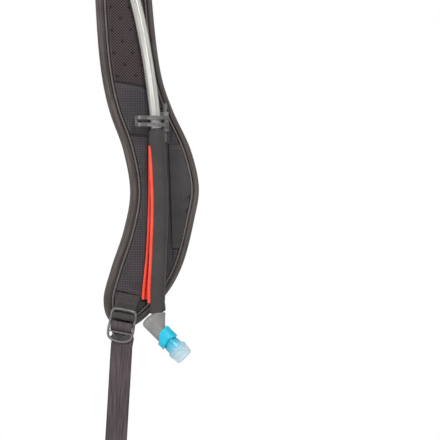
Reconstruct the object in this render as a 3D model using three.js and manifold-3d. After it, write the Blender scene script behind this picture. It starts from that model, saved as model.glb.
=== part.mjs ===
// Shoulder strap of a hydration pack with its drinking hose.
// Millimetres, +Z up, the strap's outer face towards -Y, origin at the middle of the sewn top end.

import * as THREE from 'three';
import { mergeVertices } from 'three/addons/utils/BufferGeometryUtils.js';
import Module from 'manifold-3d';

const wasm = await Module();
wasm.setup();

// ---------------------------------------------------------------- driving dimensions

const GAP = 0.3;

// Strap pad: the side view of its middle surface, top to bottom, as [z, y].
const SIDE_VIEW = [
  [0, 0], [-25, -25], [-55, -45], [-90, -59], [-130, -68],
  [-180, -74], [-240, -77], [-300, -77], [-360, -75], [-417, -71],
];
// Front view of its edge: down the inner side, round the tip and up the outer side, as [x, z].
const OUTLINE = [
  [-25, -16], [-21.7, -115], [-16, -180], [-8.5, -216], [4.5, -253], [10.9, -292], [4.9, -327],
  [-7, -363], [-13.8, -391], [-10, -408], [2, -417], [17.2, -413.3], [44.8, -385], [58.6, -360],
  [70.2, -316], [74.3, -288], [66.8, -253], [50.1, -216], [40, -186], [30.8, -115], [26, -16],
];
const TAB_LENGTH = 15.4;
const TAB_WIDTH = 46;
const TAB_THICKNESS = 3.2;
const PAD_TOP = -16;
const PAD_FULL_AT = -48;
const PAD_THIN = 0.55;

const FOAM_HALF = 4;
const CLOTH = 1;
const BINDING = 1.3;
const FRONT = FOAM_HALF + GAP + CLOTH;
const PIPING_INSET_LEFT = 8.8;
const PIPING_INSET_RIGHT = 6.3;
const PIPING_HALF = 0.55;
const PIPING_PROUD = 0.9;
const BACK_BAND = 7;

// Seams across the front, as heights at the inner and the outer side.
const MESH_SEAM = [-189.9, -197];
const RIPSTOP_SEAM = [-238.6, -243];
const TIP_SEAM = [-382.5, -392];

const POCKET = { mouth: -248.4, bottom: -343, leftTop: 46.6, leftBottom: 50, bulge: 1.5, cloth: 0.8 };

// Drinking tube: [x, height above the pad's middle surface, z].
const TUBE_RADIUS = 4.8;
const TUBE_BORE = 3.2;
const ROUND_STEPS = 6;
const TUBE_ROUTE = [
  [1.5, 12.5, -66], [3.2, 12, -75], [8, 11.4, -95], [15.1, 11, -115], [22.1, 11.2, -143.5],
  [27.2, 11.8, -171.1], [31.6, 13, -199.6], [33.8, 14.2, -218], [34.9, 14.7, -228], [35.7, 14.8, -235.2],
];
const KEEPER = { share: 0.13, width: 10, reach: 13, thickness: 1.1 };
const PLUG = { length: 36, radius: 7, nose: 4, sealRadius: 0.95, sealAt: 28.3 };

// Hose sleeve: its centre line at rest, as [x, z], and the heights where it bends.
const HOSE_HEIGHT = 14.8;
const CUFF_CENTRE = [35.9, -242.9];
const CUFF_RADIUS = 7.2;
const CUFF_RIM_TURN = 42;
const CUFF_TUBE = { radius: 4.2, length: 10 };
const HOSE_LINE = [[35.9, -242.9], [36.8, -256], [39.1, -299], [38.3, -345], [36.9, -382], [37, -400.8]];
const HOSE_BENDS = [-250.9, -281, -313, -345, -375, -400.8];
const BEND_GAP = 0.95;
const SLEEVE = { leftTop: 6, leftBottom: 7.6, right: 7.3, halfDepth: 6.4, bore: 5.25 };
const SLEEVE_PIPING = { radius: 1.5, beside: 0.9, y: 1.6 };
const SLEEVE_MAGNET = { x: -6.55, width: 1, depth: 4, length: 15 };

const STRAP_PIPING = {
  route: [[29.5, -249], [29.2, -299], [27.3, -345], [23.8, -380], [23, -390]],
  radius: 1.55, height: 7.2,
};
const STRAP_MAGNET = { x: 31, z: -378, radius: 6, thickness: 2.5, under: 0.6 };

// Elbow and bite valve: the barrel's closed end, and its axis, 45 degrees down to the outer side.
const BARREL_BACK = [27, -408.8];
const BARREL_RADIUS = 7;
const BARREL_LENGTH = 22.6;
const STUB_RADIUS = 6.3;
const STUB_X = 37.2;
const BARB_RADIUS = 2.6;
const BARB_LENGTH = 14;
const NIPPLE_RADIUS = 4.5;
const NIPPLE_END = 29;
const WATERWAY_RADIUS = 1.8;
const COLLAR = { inner: 7.4, outer: 8.9, wing: 0.5, start: 19.6, slant: 3, end: 27.2, wingReach: 3 };
const VALVE_END = 49.7;

// Hose clip: a slider on a rail, with a loop that closes over the tube.
const RAIL = {
  x: 42.9, top: -210.3, bottom: -246, head: 2.2, web: 1.1, base: 6.5, neck: 7.8, face: 9.4,
  footLength: 2.4, notches: 3, notchPitch: 2.6, notchWidth: 1.2, notchDepth: 1.1, firstNotch: 1.4,
};
const SLIDER = { top: -218, bottom: -235.9, halfWidth: 3.8, face: 11.2, earHalf: 1.1 };
const LOOP_ARMS = [-223.6, -230];
const LOOP_LINE = [
  [43.9, 13.8], [43.7, 17], [41.4, 20], [37.5, 21.1], [32, 21.3], [25, 20.8], [20, 19.4], [17.7, 17.6],
  [17, 15], [17, 8.6],
];
const LOOP_POST = { x: [15.9, 18.1], height: [8.4, 17.5], beyondArms: 1.4 };
const ARM_HEIGHT = 3.4;
const ARM_THICKNESS = 2;
const PIN = { x: 43.9, height: 13.4, radius: 0.9, knuckle: 1.9 };

// Ladder-lock buckle and webbing, in the buckle's own frame: bars as [lowest, highest].
const BUCKLE_PLACE = new THREE.Vector3(3.2, -84.2, -414.9);
const BUCKLE_TILT = THREE.MathUtils.degToRad(11);
const BUCKLE = { halfWidth: 12.5, shoulder: 0.4, halfDepth: 1.7, slotHalf: 10.35, top: 16.2, bottom: -15.8 };
const SLOTS = [[9.8, 13.4], [2, 7.6], [-5.6, -0.2]];
const WEB_THICKNESS = 1.2;
const WEB_WIDTH = 20;
const WEB_SKEW = THREE.MathUtils.degToRad(7.6);
const ANCHOR_DRIFT = 0.17;
const WEB_SHIFT = { from: -6, to: -16, by: 3.4 };
const ANCHOR_DEPTH = 4.2;
const LOAD_DEPTH = 3.15;
const TAIL_DEPTH = 1.5;
const TAIL_END = -160;
const LOAD_END = -186;
const HEM_LENGTH = 18;
const BUCKLE_FLEX = 18.6;
const WEB_FLEX = -17;

// ---------------------------------------------------------------- materials

const finish = (color, roughness, metalness = 0) =>
  new THREE.MeshStandardMaterial({ color, roughness, metalness });
const MATERIALS = {
  mesh: finish(0x4a4243, 0.9),
  ripstop: finish(0x474446, 0.8),
  binding: finish(0x544b4b, 0.9),
  piping: finish(0x8c8582, 0.8),
  lining: finish(0x3c3839, 0.95),
  foam: finish(0x2c2a2b, 0.9),
  webbing: finish(0x54494c, 0.85),
  sleeve: finish(0x484a4a, 0.85),
  red: finish(0xe83c22, 0.6),
  clearTube: finish(0xd0cfcb, 0.2),
  blackPlastic: finish(0x5a5656, 0.3),
  greyPlastic: finish(0x9c9a98, 0.6),
  cyan: finish(0x38c4ea, 0.4),
  silicone: finish(0xc8e6f0, 0.3),
  rubber: finish(0x222222, 0.8),
  metal: finish(0xb0b0b0, 0.35, 1),
};

// ---------------------------------------------------------------- solids

function bare(geometry) {
  const copy = geometry.clone();
  copy.deleteAttribute('normal');
  copy.deleteAttribute('uv');
  return mergeVertices(copy, 1e-4);
}

function signedVolume(geometry) {
  const p = geometry.attributes.position;
  const index = geometry.index;
  const [a, b, c] = [new THREE.Vector3(), new THREE.Vector3(), new THREE.Vector3()];
  let sum = 0;
  for (let i = 0; i < index.count; i += 3) {
    a.fromBufferAttribute(p, index.getX(i));
    b.fromBufferAttribute(p, index.getX(i + 1));
    c.fromBufferAttribute(p, index.getX(i + 2));
    sum += a.dot(b.cross(c));
  }
  return sum;
}

function facingOut(geometry) {
  const solid = bare(geometry);
  if (signedVolume(solid) < 0) {
    const index = solid.index;
    for (let i = 0; i < index.count; i += 3) {
      const first = index.getX(i);
      index.setX(i, index.getX(i + 1));
      index.setX(i + 1, first);
    }
  }
  return solid;
}

// A box whose three directions, each from 0 to 1, are carried to any place by a function.
function bentBox(columns, layers, rows, place) {
  const geometry = new THREE.BoxGeometry(1, 1, 1, columns, layers, rows);
  const p = geometry.attributes.position;
  for (let i = 0; i < p.count; i++) {
    const v = place(p.getX(i) + 0.5, p.getY(i) + 0.5, p.getZ(i) + 0.5);
    p.setXYZ(i, v.x, v.y, v.z);
  }
  return facingOut(geometry);
}

function toManifold(geometry) {
  const solid = facingOut(geometry);
  return new wasm.Manifold(new wasm.Mesh({
    numProp: 3,
    vertProperties: new Float32Array(solid.attributes.position.array),
    triVerts: new Uint32Array(solid.index.array),
  }));
}

function fromManifold(manifold) {
  const mesh = manifold.getMesh();
  const geometry = new THREE.BufferGeometry();
  geometry.setAttribute('position', new THREE.BufferAttribute(new Float32Array(mesh.vertProperties), 3));
  geometry.setIndex([...mesh.triVerts]);
  return geometry;
}

function combine(solids, cuts = []) {
  let body = toManifold(solids[0]);
  for (const solid of solids.slice(1)) body = body.add(toManifold(solid));
  for (const cut of cuts) body = body.subtract(toManifold(cut));
  return fromManifold(body);
}

function box(x, y, z) {
  return new THREE.BoxGeometry(x[1] - x[0], y[1] - y[0], z[1] - z[0])
    .translate((x[0] + x[1]) / 2, (y[0] + y[1]) / 2, (z[0] + z[1]) / 2);
}

function cylinderZ(x, y, z, radius, sides = 16) {
  return new THREE.CylinderGeometry(radius, radius, z[1] - z[0], sides)
    .rotateX(Math.PI / 2).translate(x, y, (z[0] + z[1]) / 2);
}

// The outline of a strip of even thickness along a line of [x, y] points.
function stripShape(points, thickness) {
  const line = points.map(([x, y]) => new THREE.Vector2(x, y));
  const sides = [[], []];
  line.forEach((point, i) => {
    const before = line[Math.max(i - 1, 0)];
    const after = line[Math.min(i + 1, line.length - 1)];
    const along = after.clone().sub(before).normalize();
    const across = new THREE.Vector2(-along.y, along.x).multiplyScalar(thickness / 2);
    sides[0].push(point.clone().add(across));
    sides[1].unshift(point.clone().sub(across));
  });
  return new THREE.Shape([...sides[0], ...sides[1]]);
}

function smoothLine(points, divisions) {
  const curve = new THREE.SplineCurve(points.map(([x, y]) => new THREE.Vector2(x, y)));
  return curve.getSpacedPoints(divisions).map((v) => [v.x, v.y]);
}

const straight = (shape, depth, curveSegments = ROUND_STEPS) =>
  new THREE.ExtrudeGeometry(shape, { depth, bevelEnabled: false, curveSegments });

function ringShape(radius, bore) {
  const shape = new THREE.Shape();
  shape.absarc(0, 0, radius, 0, 2 * Math.PI);
  shape.holes.push(new THREE.Path().absarc(0, 0, bore, 0, 2 * Math.PI, true));
  return shape;
}

const lathe = (points, sides = 18) =>
  new THREE.LatheGeometry(points.map(([r, y]) => new THREE.Vector2(r, y)), sides);

// ---------------------------------------------------------------- the pad's surface

const sideCurve = new THREE.CatmullRomCurve3(SIDE_VIEW.map(([z, y]) => new THREE.Vector3(0, y, z)));
const sideSamples = sideCurve.getSpacedPoints(240);

function crossing(line, z) {
  for (let i = 1; i < line.length; i++) {
    const [a, b] = [line[i - 1], line[i]];
    if ((a.z - z) * (b.z - z) <= 0 && a.z !== b.z) return a.clone().lerp(b, (z - a.z) / (b.z - a.z));
  }
  const ends = [line[0], line[line.length - 1]];
  return (Math.abs(ends[0].z - z) < Math.abs(ends[1].z - z) ? ends[0] : ends[1]).clone();
}

function lean(z) {
  const step = 2;
  const above = crossing(sideSamples, Math.min(z + step, 0));
  const below = crossing(sideSamples, Math.max(z - step, SIDE_VIEW.at(-1)[0]));
  return Math.atan2(above.y - below.y, above.z - below.z);
}

// The point at x, z on the pad's middle surface, raised by height towards the outer face.
function onPad(x, height, z) {
  const angle = lean(z);
  const y = crossing(sideSamples, z).y;
  return new THREE.Vector3(x, y - height * Math.cos(angle), z + height * Math.sin(angle));
}

// Layers thin out together towards the sewn top end.
function thin(z) {
  return THREE.MathUtils.lerp(1, PAD_THIN, THREE.MathUtils.smoothstep(z, PAD_FULL_AT, PAD_TOP));
}

const outline = new THREE.CatmullRomCurve3(OUTLINE.map(([x, z]) => new THREE.Vector3(x, 0, z)));
outline.arcLengthDivisions = 800;

function insetPoint(share, inset) {
  const point = outline.getPointAt(share);
  const along = outline.getTangentAt(share);
  return new THREE.Vector3(point.x - along.z * inset, 0, point.z + along.x * inset);
}

function pipingInset(share) {
  const roundTip = THREE.MathUtils.smoothstep(share, 0.42, 0.58);
  return THREE.MathUtils.lerp(PIPING_INSET_LEFT, PIPING_INSET_RIGHT, roundTip);
}

// The two sides of the outline moved in by a distance that may change along it.
function sidesOf(insetAt) {
  const steps = 400;
  const points = Array.from({ length: steps + 1 }, (_, i) => insetPoint(i / steps, insetAt(i / steps)));
  const lowest = points.reduce((best, p, i) => (p.z < points[best].z ? i : best), 0);
  return { left: points.slice(0, lowest + 1), right: points.slice(lowest), bottom: points[lowest].z };
}

// A layer of the pad between two heights, from a top line to a bottom line.
function layer(insetAt, top, bottom, heights, columns, rows, ease = 1) {
  const sides = sidesOf(insetAt);
  return bentBox(columns, 1, rows, (a, b, c) => {
    const down = 1 - (1 - c) ** ease;
    const start = THREE.MathUtils.lerp(top[0], top[1], a);
    const end = bottom ? THREE.MathUtils.lerp(bottom[0], bottom[1], a) : sides.bottom + GAP;
    const z = THREE.MathUtils.lerp(start, end, down);
    const x = THREE.MathUtils.lerp(crossing(sides.left, z).x, crossing(sides.right, z).x, a);
    return onPad(x, THREE.MathUtils.lerp(heights[0], heights[1], b) * thin(z), z);
  });
}

// ---------------------------------------------------------------- pad

function foamCore() {
  const inset = () => BINDING + 4 * GAP;
  const foam = layer(inset, [PAD_TOP, PAD_TOP], null, [-FOAM_HALF, FOAM_HALF], 4, 64, 1.6);
  const centre = onPad(STRAP_MAGNET.x, FOAM_HALF, STRAP_MAGNET.z);
  const depth = 2 * (STRAP_MAGNET.under + STRAP_MAGNET.thickness);
  return combine([foam], [magnetDisc(centre, STRAP_MAGNET.radius + GAP, depth + GAP)]);
}

function magnetDisc(centre, radius, thickness) {
  return new THREE.CylinderGeometry(radius, radius, thickness, 20)
    .rotateX(lean(STRAP_MAGNET.z)).translate(centre.x, centre.y, centre.z);
}

function strapMagnet() {
  const { x, z, radius, thickness, under } = STRAP_MAGNET;
  return magnetDisc(onPad(x, FOAM_HALF - under - thickness / 2, z), radius, thickness);
}

const insidePiping = (share) => pipingInset(share) + PIPING_HALF + 2 * GAP;
const frontCloth = [FOAM_HALF + GAP, FRONT];
const lowered = (seam) => seam.map((z) => z - GAP / 2);
const raised = (seam) => seam.map((z) => z + GAP / 2);

const meshPanel = () => layer(insidePiping, [PAD_TOP, PAD_TOP], raised(MESH_SEAM), frontCloth, 4, 20);
const ripstopUpper = () => layer(insidePiping, lowered(MESH_SEAM), raised(RIPSTOP_SEAM), frontCloth, 4, 6);
const ripstopLower = () => layer(insidePiping, lowered(RIPSTOP_SEAM), raised(TIP_SEAM), frontCloth, 4, 16);
const tipPanel = () => layer(insidePiping, lowered(TIP_SEAM), null, frontCloth, 4, 6, 1.5);
const backLining = () =>
  layer(() => BACK_BAND + 2 * GAP, [PAD_TOP, PAD_TOP], null, [-FRONT, -FOAM_HALF - GAP], 4, 36, 1.5);

// A C-shaped section that wraps the pad's edge all the way round.
function edgeBinding() {
  const face = FOAM_HALF + GAP + BINDING;
  return bentBox(3, 1, 72, (a, b, c) => {
    const band = pipingInset(c) - PIPING_HALF - GAP;
    const corner = Math.round(a * 3);
    const wall = b > 0.5 ? 0 : BINDING;
    const inset = [BACK_BAND, wall, wall, band][corner];
    const height = (b > 0.5 ? face : FOAM_HALF + GAP) * [-1, -1, 1, 1][corner];
    const point = insetPoint(c, inset);
    return onPad(point.x, height * thin(point.z), point.z);
  });
}

function edgePiping() {
  return bentBox(1, 1, 72, (a, b, c) => {
    const point = insetPoint(c, pipingInset(c) + PIPING_HALF * (2 * a - 1));
    const height = b > 0.5 ? FRONT + PIPING_PROUD : FOAM_HALF + GAP;
    return onPad(point.x, height * thin(point.z), point.z);
  });
}

function topTab() {
  return bentBox(4, 1, 4, (a, b, c) =>
    onPad(TAB_WIDTH * (a - 0.5), TAB_THICKNESS * (b - 0.5), -TAB_LENGTH * c));
}

// One stretch sheet sewn down at the sides and the foot, standing off the pad at its mouth.
function stretchPocket() {
  const sides = sidesOf(insidePiping);
  return bentBox(6, 1, 12, (a, b, c) => {
    const z = THREE.MathUtils.lerp(POCKET.mouth, POCKET.bottom, c);
    const left = THREE.MathUtils.lerp(POCKET.leftTop, POCKET.leftBottom, c);
    const x = THREE.MathUtils.lerp(left, crossing(sides.right, z).x - GAP, a);
    const bow = Math.sqrt(4 * a * (1 - a)) * (1 - c ** 2);
    return onPad(x, FRONT + GAP + POCKET.bulge * bow + POCKET.cloth * b, z);
  });
}

// ---------------------------------------------------------------- cords and tubes on the pad

function sweep(shape, points, steps) {
  const curve = new THREE.CatmullRomCurve3(points);
  return new THREE.ExtrudeGeometry(shape, {
    steps, extrudePath: curve, bevelEnabled: false, curveSegments: ROUND_STEPS,
  });
}

const tubePoints = TUBE_ROUTE.map(([x, height, z]) => onPad(x, height, z));

const drinkTube = () => sweep(ringShape(TUBE_RADIUS, TUBE_BORE), tubePoints, 24);

function strapPiping() {
  const disc = new THREE.Shape();
  disc.absarc(0, 0, STRAP_PIPING.radius, 0, 2 * Math.PI);
  const points = STRAP_PIPING.route.map(([x, z]) => onPad(x, STRAP_PIPING.height, z));
  return new THREE.ExtrudeGeometry(disc, {
    steps: 16, extrudePath: new THREE.CatmullRomCurve3(points), bevelEnabled: false, curveSegments: 4,
  });
}

// An elastic loop sewn to the pad on both sides of the tube.
function hoseKeeper() {
  const curve = new THREE.CatmullRomCurve3(tubePoints);
  const centre = curve.getPointAt(KEEPER.share);
  const along = curve.getTangentAt(KEEPER.share);
  const tilt = lean(centre.z);
  const outward = new THREE.Vector3(0, -Math.cos(tilt), Math.sin(tilt));
  const side = new THREE.Vector3().crossVectors(outward, along).normalize();
  const up = new THREE.Vector3().crossVectors(along, side);
  const rise = TUBE_RADIUS + 0.5 + KEEPER.thickness / 2;
  const low = -TUBE_RADIUS - 0.2;
  const arch = Array.from({ length: 9 }, (_, i) => {
    const turn = Math.PI * (0.02 + 0.96 * i / 8);
    return [-rise * Math.cos(turn), rise * Math.sin(turn)];
  });
  const foot = [[-KEEPER.reach, low], [-KEEPER.reach + 5, low + 0.2], [-rise - 0.9, low + 1.6]];
  const line = [...foot, ...arch, ...foot.map(([x, h]) => [-x, h]).reverse()];
  const loop = straight(stripShape(line, KEEPER.thickness), KEEPER.width).translate(0, 0, -KEEPER.width / 2);
  return loop.applyMatrix4(new THREE.Matrix4().makeBasis(side, up, along).setPosition(centre));
}

// Rotation that carries +Y to a direction, keeping X as near to the front view's plane as it can be.
function alongAxis(origin, direction) {
  const y = direction.clone().normalize();
  const front = new THREE.Vector3(0, -1, 0);
  const z = front.sub(y.clone().multiplyScalar(front.dot(y))).normalize();
  const x = new THREE.Vector3().crossVectors(y, z);
  return new THREE.Matrix4().makeBasis(x, y, z).setPosition(origin);
}

const plugFrame = (() => {
  const end = tubePoints[0];
  return alongAxis(end, end.clone().sub(tubePoints[1]));
})();

// Quick-connect plug: a barb in the tube's end, a grip collar and a nose with a groove for its seal.
function quickConnectPlug() {
  const barb = TUBE_BORE - 0.5;
  const { nose } = PLUG;
  return lathe([
    [WATERWAY_RADIUS, -9], [barb, -9], [barb, 0.4], [PLUG.radius - 1, 0.4], [PLUG.radius, 1.6],
    [PLUG.radius, 11], [PLUG.radius - 1.4, 12.4], [PLUG.radius - 1.4, 16], [PLUG.radius - 0.6, 17],
    [PLUG.radius - 0.6, 20], [nose, 21], [nose, 27], [nose - 1.1, 27], [nose - 1.1, 29.6], [nose, 29.6],
    [nose, PLUG.length - 1], [nose - 0.8, PLUG.length], [WATERWAY_RADIUS, PLUG.length], [WATERWAY_RADIUS, -9],
  ]).applyMatrix4(plugFrame);
}

function plugSeal() {
  return new THREE.TorusGeometry(PLUG.nose, PLUG.sealRadius, 6, 18)
    .rotateX(Math.PI / 2).translate(0, PLUG.sealAt, 0).applyMatrix4(plugFrame);
}

// ---------------------------------------------------------------- clip

const loopMiddle = (LOOP_ARMS[0] + LOOP_ARMS[1]) / 2;
const pinY = onPad(0, 0, loopMiddle).y - PIN.height;

const raisedBox = (x, height, z) => {
  const y = onPad(x[0], 0, (z[0] + z[1]) / 2).y;
  return box(x, [y - height[1], y - height[0]], z);
};

function rail() {
  const span = [RAIL.bottom, RAIL.top];
  const head = raisedBox([RAIL.x - RAIL.head, RAIL.x + RAIL.head], [RAIL.neck, RAIL.face], span);
  const web = raisedBox([RAIL.x - RAIL.web, RAIL.x + RAIL.web], [RAIL.base, RAIL.neck + 0.1], span);
  const feet = [[RAIL.top - RAIL.footLength, RAIL.top], [RAIL.bottom, RAIL.bottom + RAIL.footLength]]
    .map((z) => raisedBox([RAIL.x - RAIL.head, RAIL.x + RAIL.head], [RAIL.base, RAIL.neck + 0.1], z));
  const left = RAIL.x - RAIL.head;
  const notches = Array.from({ length: RAIL.notches }, (_, i) => {
    const z = RAIL.top - RAIL.firstNotch - RAIL.notchPitch * i;
    const across = [left - 1, left + RAIL.notchDepth];
    return raisedBox(across, [RAIL.neck + 0.3, RAIL.face + 1], [z - RAIL.notchWidth, z]);
  });
  return combine([head, web, ...feet], notches);
}

function sliderBody() {
  const span = [SLIDER.bottom, SLIDER.top];
  const onRail = (half) => [RAIL.x - half, RAIL.x + half];
  const block = raisedBox(onRail(SLIDER.halfWidth), [RAIL.base + 0.1, SLIDER.face], span);
  const open = [SLIDER.bottom - 1, SLIDER.top + 1];
  const headRoom = raisedBox(onRail(RAIL.head + GAP), [RAIL.neck - GAP, RAIL.face + GAP], open);
  const webRoom = raisedBox(onRail(RAIL.web + GAP), [RAIL.base - 1, RAIL.neck], open);
  const ear = raisedBox(
    [PIN.x - PIN.knuckle, PIN.x + PIN.knuckle],
    [SLIDER.face - 0.2, PIN.height + PIN.knuckle],
    [loopMiddle - SLIDER.earHalf, loopMiddle + SLIDER.earHalf],
  );
  const hole = cylinderZ(PIN.x, pinY, [loopMiddle - 3, loopMiddle + 3], PIN.radius + GAP);
  return combine([block, ear], [headRoom, webRoom, hole]);
}

function clipPin() {
  return cylinderZ(PIN.x, pinY, [LOOP_ARMS[1] - 2, LOOP_ARMS[0] + 2], PIN.radius);
}

// Two arms over the tube, joined by a post at their free end.
function clipLoop() {
  const line = smoothLine(LOOP_LINE, 22);
  const base = onPad(0, 0, loopMiddle).y;
  const arm = (z) => {
    const strip = straight(stripShape(line, ARM_THICKNESS), ARM_HEIGHT);
    const p = strip.attributes.position;
    const low = z - ARM_HEIGHT / 2;
    for (let i = 0; i < p.count; i++) p.setXYZ(i, p.getX(i), base - p.getY(i), low + p.getZ(i));
    return strip;
  };
  const knuckles = LOOP_ARMS.map((z) =>
    cylinderZ(PIN.x, pinY, [z - ARM_HEIGHT / 2, z + ARM_HEIGHT / 2], PIN.knuckle));
  const { x, height, beyondArms } = LOOP_POST;
  const post = box(
    x, [base - height[1], base - height[0]], [LOOP_ARMS[1] - beyondArms, LOOP_ARMS[0] + beyondArms],
  );
  const hole = cylinderZ(PIN.x, pinY, [LOOP_ARMS[1] - 5, LOOP_ARMS[0] + 5], PIN.radius + GAP);
  return combine([...LOOP_ARMS.map(arm), ...knuckles, post], [hole]);
}

// ---------------------------------------------------------------- hose sleeve

const hoseCurve = new THREE.CatmullRomCurve3(HOSE_LINE.map(([x, z]) => new THREE.Vector3(x, 0, z)));
const hoseSamples = hoseCurve.getSpacedPoints(200);
const hosePoint = (z) => onPad(crossing(hoseSamples, z).x, HOSE_HEIGHT, z);
const cuffCentre = onPad(CUFF_CENTRE[0], HOSE_HEIGHT, CUFF_CENTRE[1]);

function sleeveCuff() {
  const inside = SLEEVE.bore;
  const arc = Array.from({ length: 9 }, (_, i) => {
    const turn = THREE.MathUtils.degToRad(THREE.MathUtils.lerp(CUFF_RIM_TURN, 180 - CUFF_RIM_TURN, i / 8));
    return [CUFF_RADIUS * Math.sin(turn), CUFF_RADIUS * Math.cos(turn)];
  });
  const rims = [arc[0][1], arc.at(-1)[1]];
  const profile = [
    [inside - 0.6, rims[0]], ...arc, [inside - 0.6, rims[1]], [inside, rims[1] + 1], [inside, rims[0] - 1],
  ];
  return lathe([...profile, profile[0]]).rotateX(Math.PI / 2)
    .translate(cuffCentre.x, cuffCentre.y, cuffCentre.z);
}

function tubeInCuff() {
  return straight(ringShape(CUFF_TUBE.radius, TUBE_BORE - 0.4), CUFF_TUBE.length)
    .translate(cuffCentre.x, cuffCentre.y, cuffCentre.z - CUFF_TUBE.length / 2);
}

// Frame of one sleeve segment: local Z runs down the hose, X to the outer side, Y to the front.
function segmentFrame(index) {
  const last = index === HOSE_BENDS.length - 2;
  const from = hosePoint(HOSE_BENDS[index]);
  const to = hosePoint(HOSE_BENDS[index + 1]);
  const down = to.clone().sub(from).normalize();
  const side = new THREE.Vector3(1, 0, 0).addScaledVector(down, -down.x).normalize();
  const front = new THREE.Vector3().crossVectors(down, side);
  const startGap = index === 0 ? GAP : BEND_GAP;
  const endGap = last ? 0 : BEND_GAP;
  const length = from.distanceTo(to) - startGap - endGap;
  from.addScaledVector(down, startGap);
  return { matrix: new THREE.Matrix4().makeBasis(side, front, down).setPosition(from), length };
}

const sleeveLeft = (index) =>
  THREE.MathUtils.lerp(SLEEVE.leftTop, SLEEVE.leftBottom, index / (HOSE_BENDS.length - 2));

function sleeveShape(index, clear) {
  const shape = new THREE.Shape();
  const halfWidth = (sleeveLeft(index) + SLEEVE.right) / 2;
  const middle = (SLEEVE.right - sleeveLeft(index)) / 2;
  shape.absellipse(middle, 0, halfWidth + clear, SLEEVE.halfDepth + clear, 0, 2 * Math.PI);
  return shape;
}

function sleeveSegment(index) {
  const { matrix, length } = segmentFrame(index);
  const shape = sleeveShape(index, 0);
  shape.holes.push(new THREE.Path().absarc(0, 0, SLEEVE.bore, 0, 2 * Math.PI, true));
  const tube = straight(shape, length);
  if (index < HOSE_BENDS.length - 2) return tube.applyMatrix4(matrix);
  const start = (length - SLEEVE_MAGNET.length) / 2 - GAP;
  const room = box(
    [SLEEVE_MAGNET.x - SLEEVE_MAGNET.width / 2 - GAP, -3],
    [-SLEEVE_MAGNET.depth / 2 - GAP, SLEEVE_MAGNET.depth / 2 + GAP],
    [start, start + SLEEVE_MAGNET.length + 2 * GAP],
  );
  return combine([tube], [room]).applyMatrix4(matrix);
}

function sleeveMagnet() {
  const { matrix, length } = segmentFrame(HOSE_BENDS.length - 2);
  const start = (length - SLEEVE_MAGNET.length) / 2;
  return box(
    [SLEEVE_MAGNET.x - SLEEVE_MAGNET.width / 2, SLEEVE_MAGNET.x + SLEEVE_MAGNET.width / 2],
    [-SLEEVE_MAGNET.depth / 2, SLEEVE_MAGNET.depth / 2],
    [start, start + SLEEVE_MAGNET.length],
  ).applyMatrix4(matrix);
}

function tubeSegment(index) {
  const { matrix, length } = segmentFrame(index);
  return straight(ringShape(TUBE_RADIUS, TUBE_BORE), length).applyMatrix4(matrix);
}

function sleevePiping(index) {
  const { matrix, length } = segmentFrame(index);
  const last = index === HOSE_BENDS.length - 2;
  const disc = new THREE.Shape();
  const x = -sleeveLeft(index) - SLEEVE_PIPING.beside;
  disc.absarc(x, SLEEVE_PIPING.y, SLEEVE_PIPING.radius, 0, 2 * Math.PI);
  const cord = straight(disc, last ? length - 8 : length, 4);
  const room = straight(sleeveShape(index, GAP + 0.05), length + 4).translate(0, 0, -2);
  return combine([cord], [room]).applyMatrix4(matrix);
}

// ---------------------------------------------------------------- elbow and bite valve

const hoseEnd = hosePoint(HOSE_BENDS.at(-1));
const barrelAxis = new THREE.Vector3(1, 0, -1).normalize();
const barrelBack = new THREE.Vector3(BARREL_BACK[0], hoseEnd.y, BARREL_BACK[1]);
const valveFrame = alongAxis(barrelBack, barrelAxis);
const kneeShare = (STUB_X - BARREL_BACK[0]) / barrelAxis.x;
const kneeZ = BARREL_BACK[1] + kneeShare * barrelAxis.z;
const stubTop = hoseEnd.z - 0.9;

function elbowBody() {
  const corner = 3;
  const round = Array.from({ length: 5 }, (_, i) => {
    const turn = Math.PI / 2 * i / 4;
    return [BARREL_RADIUS - corner + corner * Math.sin(turn), corner - corner * Math.cos(turn)];
  });
  const barrel = lathe([
    [0, 0], ...round, [BARREL_RADIUS, BARREL_LENGTH], [NIPPLE_RADIUS, BARREL_LENGTH],
    [NIPPLE_RADIUS, NIPPLE_END], [0, NIPPLE_END],
  ]).applyMatrix4(valveFrame);
  const y = hoseEnd.y;
  const stub = cylinderZ(STUB_X, y, [kneeZ, stubTop], STUB_RADIUS, 20);
  const up = alongAxis(hoseEnd, hosePoint(HOSE_BENDS.at(-2)).sub(hoseEnd));
  const rod = (radius, length, sides) =>
    new THREE.CylinderGeometry(radius, radius, length, sides)
      .translate(0, length / 2 - 3, 0).applyMatrix4(up);
  const barb = rod(BARB_RADIUS, BARB_LENGTH + 3, 14);
  const inlet = rod(WATERWAY_RADIUS, BARB_LENGTH + 4, 12);
  const down = cylinderZ(STUB_X, y, [kneeZ, hoseEnd.z - 2], WATERWAY_RADIUS, 12);
  const outLength = NIPPLE_END + 1 - kneeShare;
  const out = new THREE.CylinderGeometry(WATERWAY_RADIUS, WATERWAY_RADIUS, outLength, 12)
    .translate(0, kneeShare + outLength / 2, 0).applyMatrix4(valveFrame);
  return combine([barrel, stub, barb], [inlet, down, out]);
}

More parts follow.
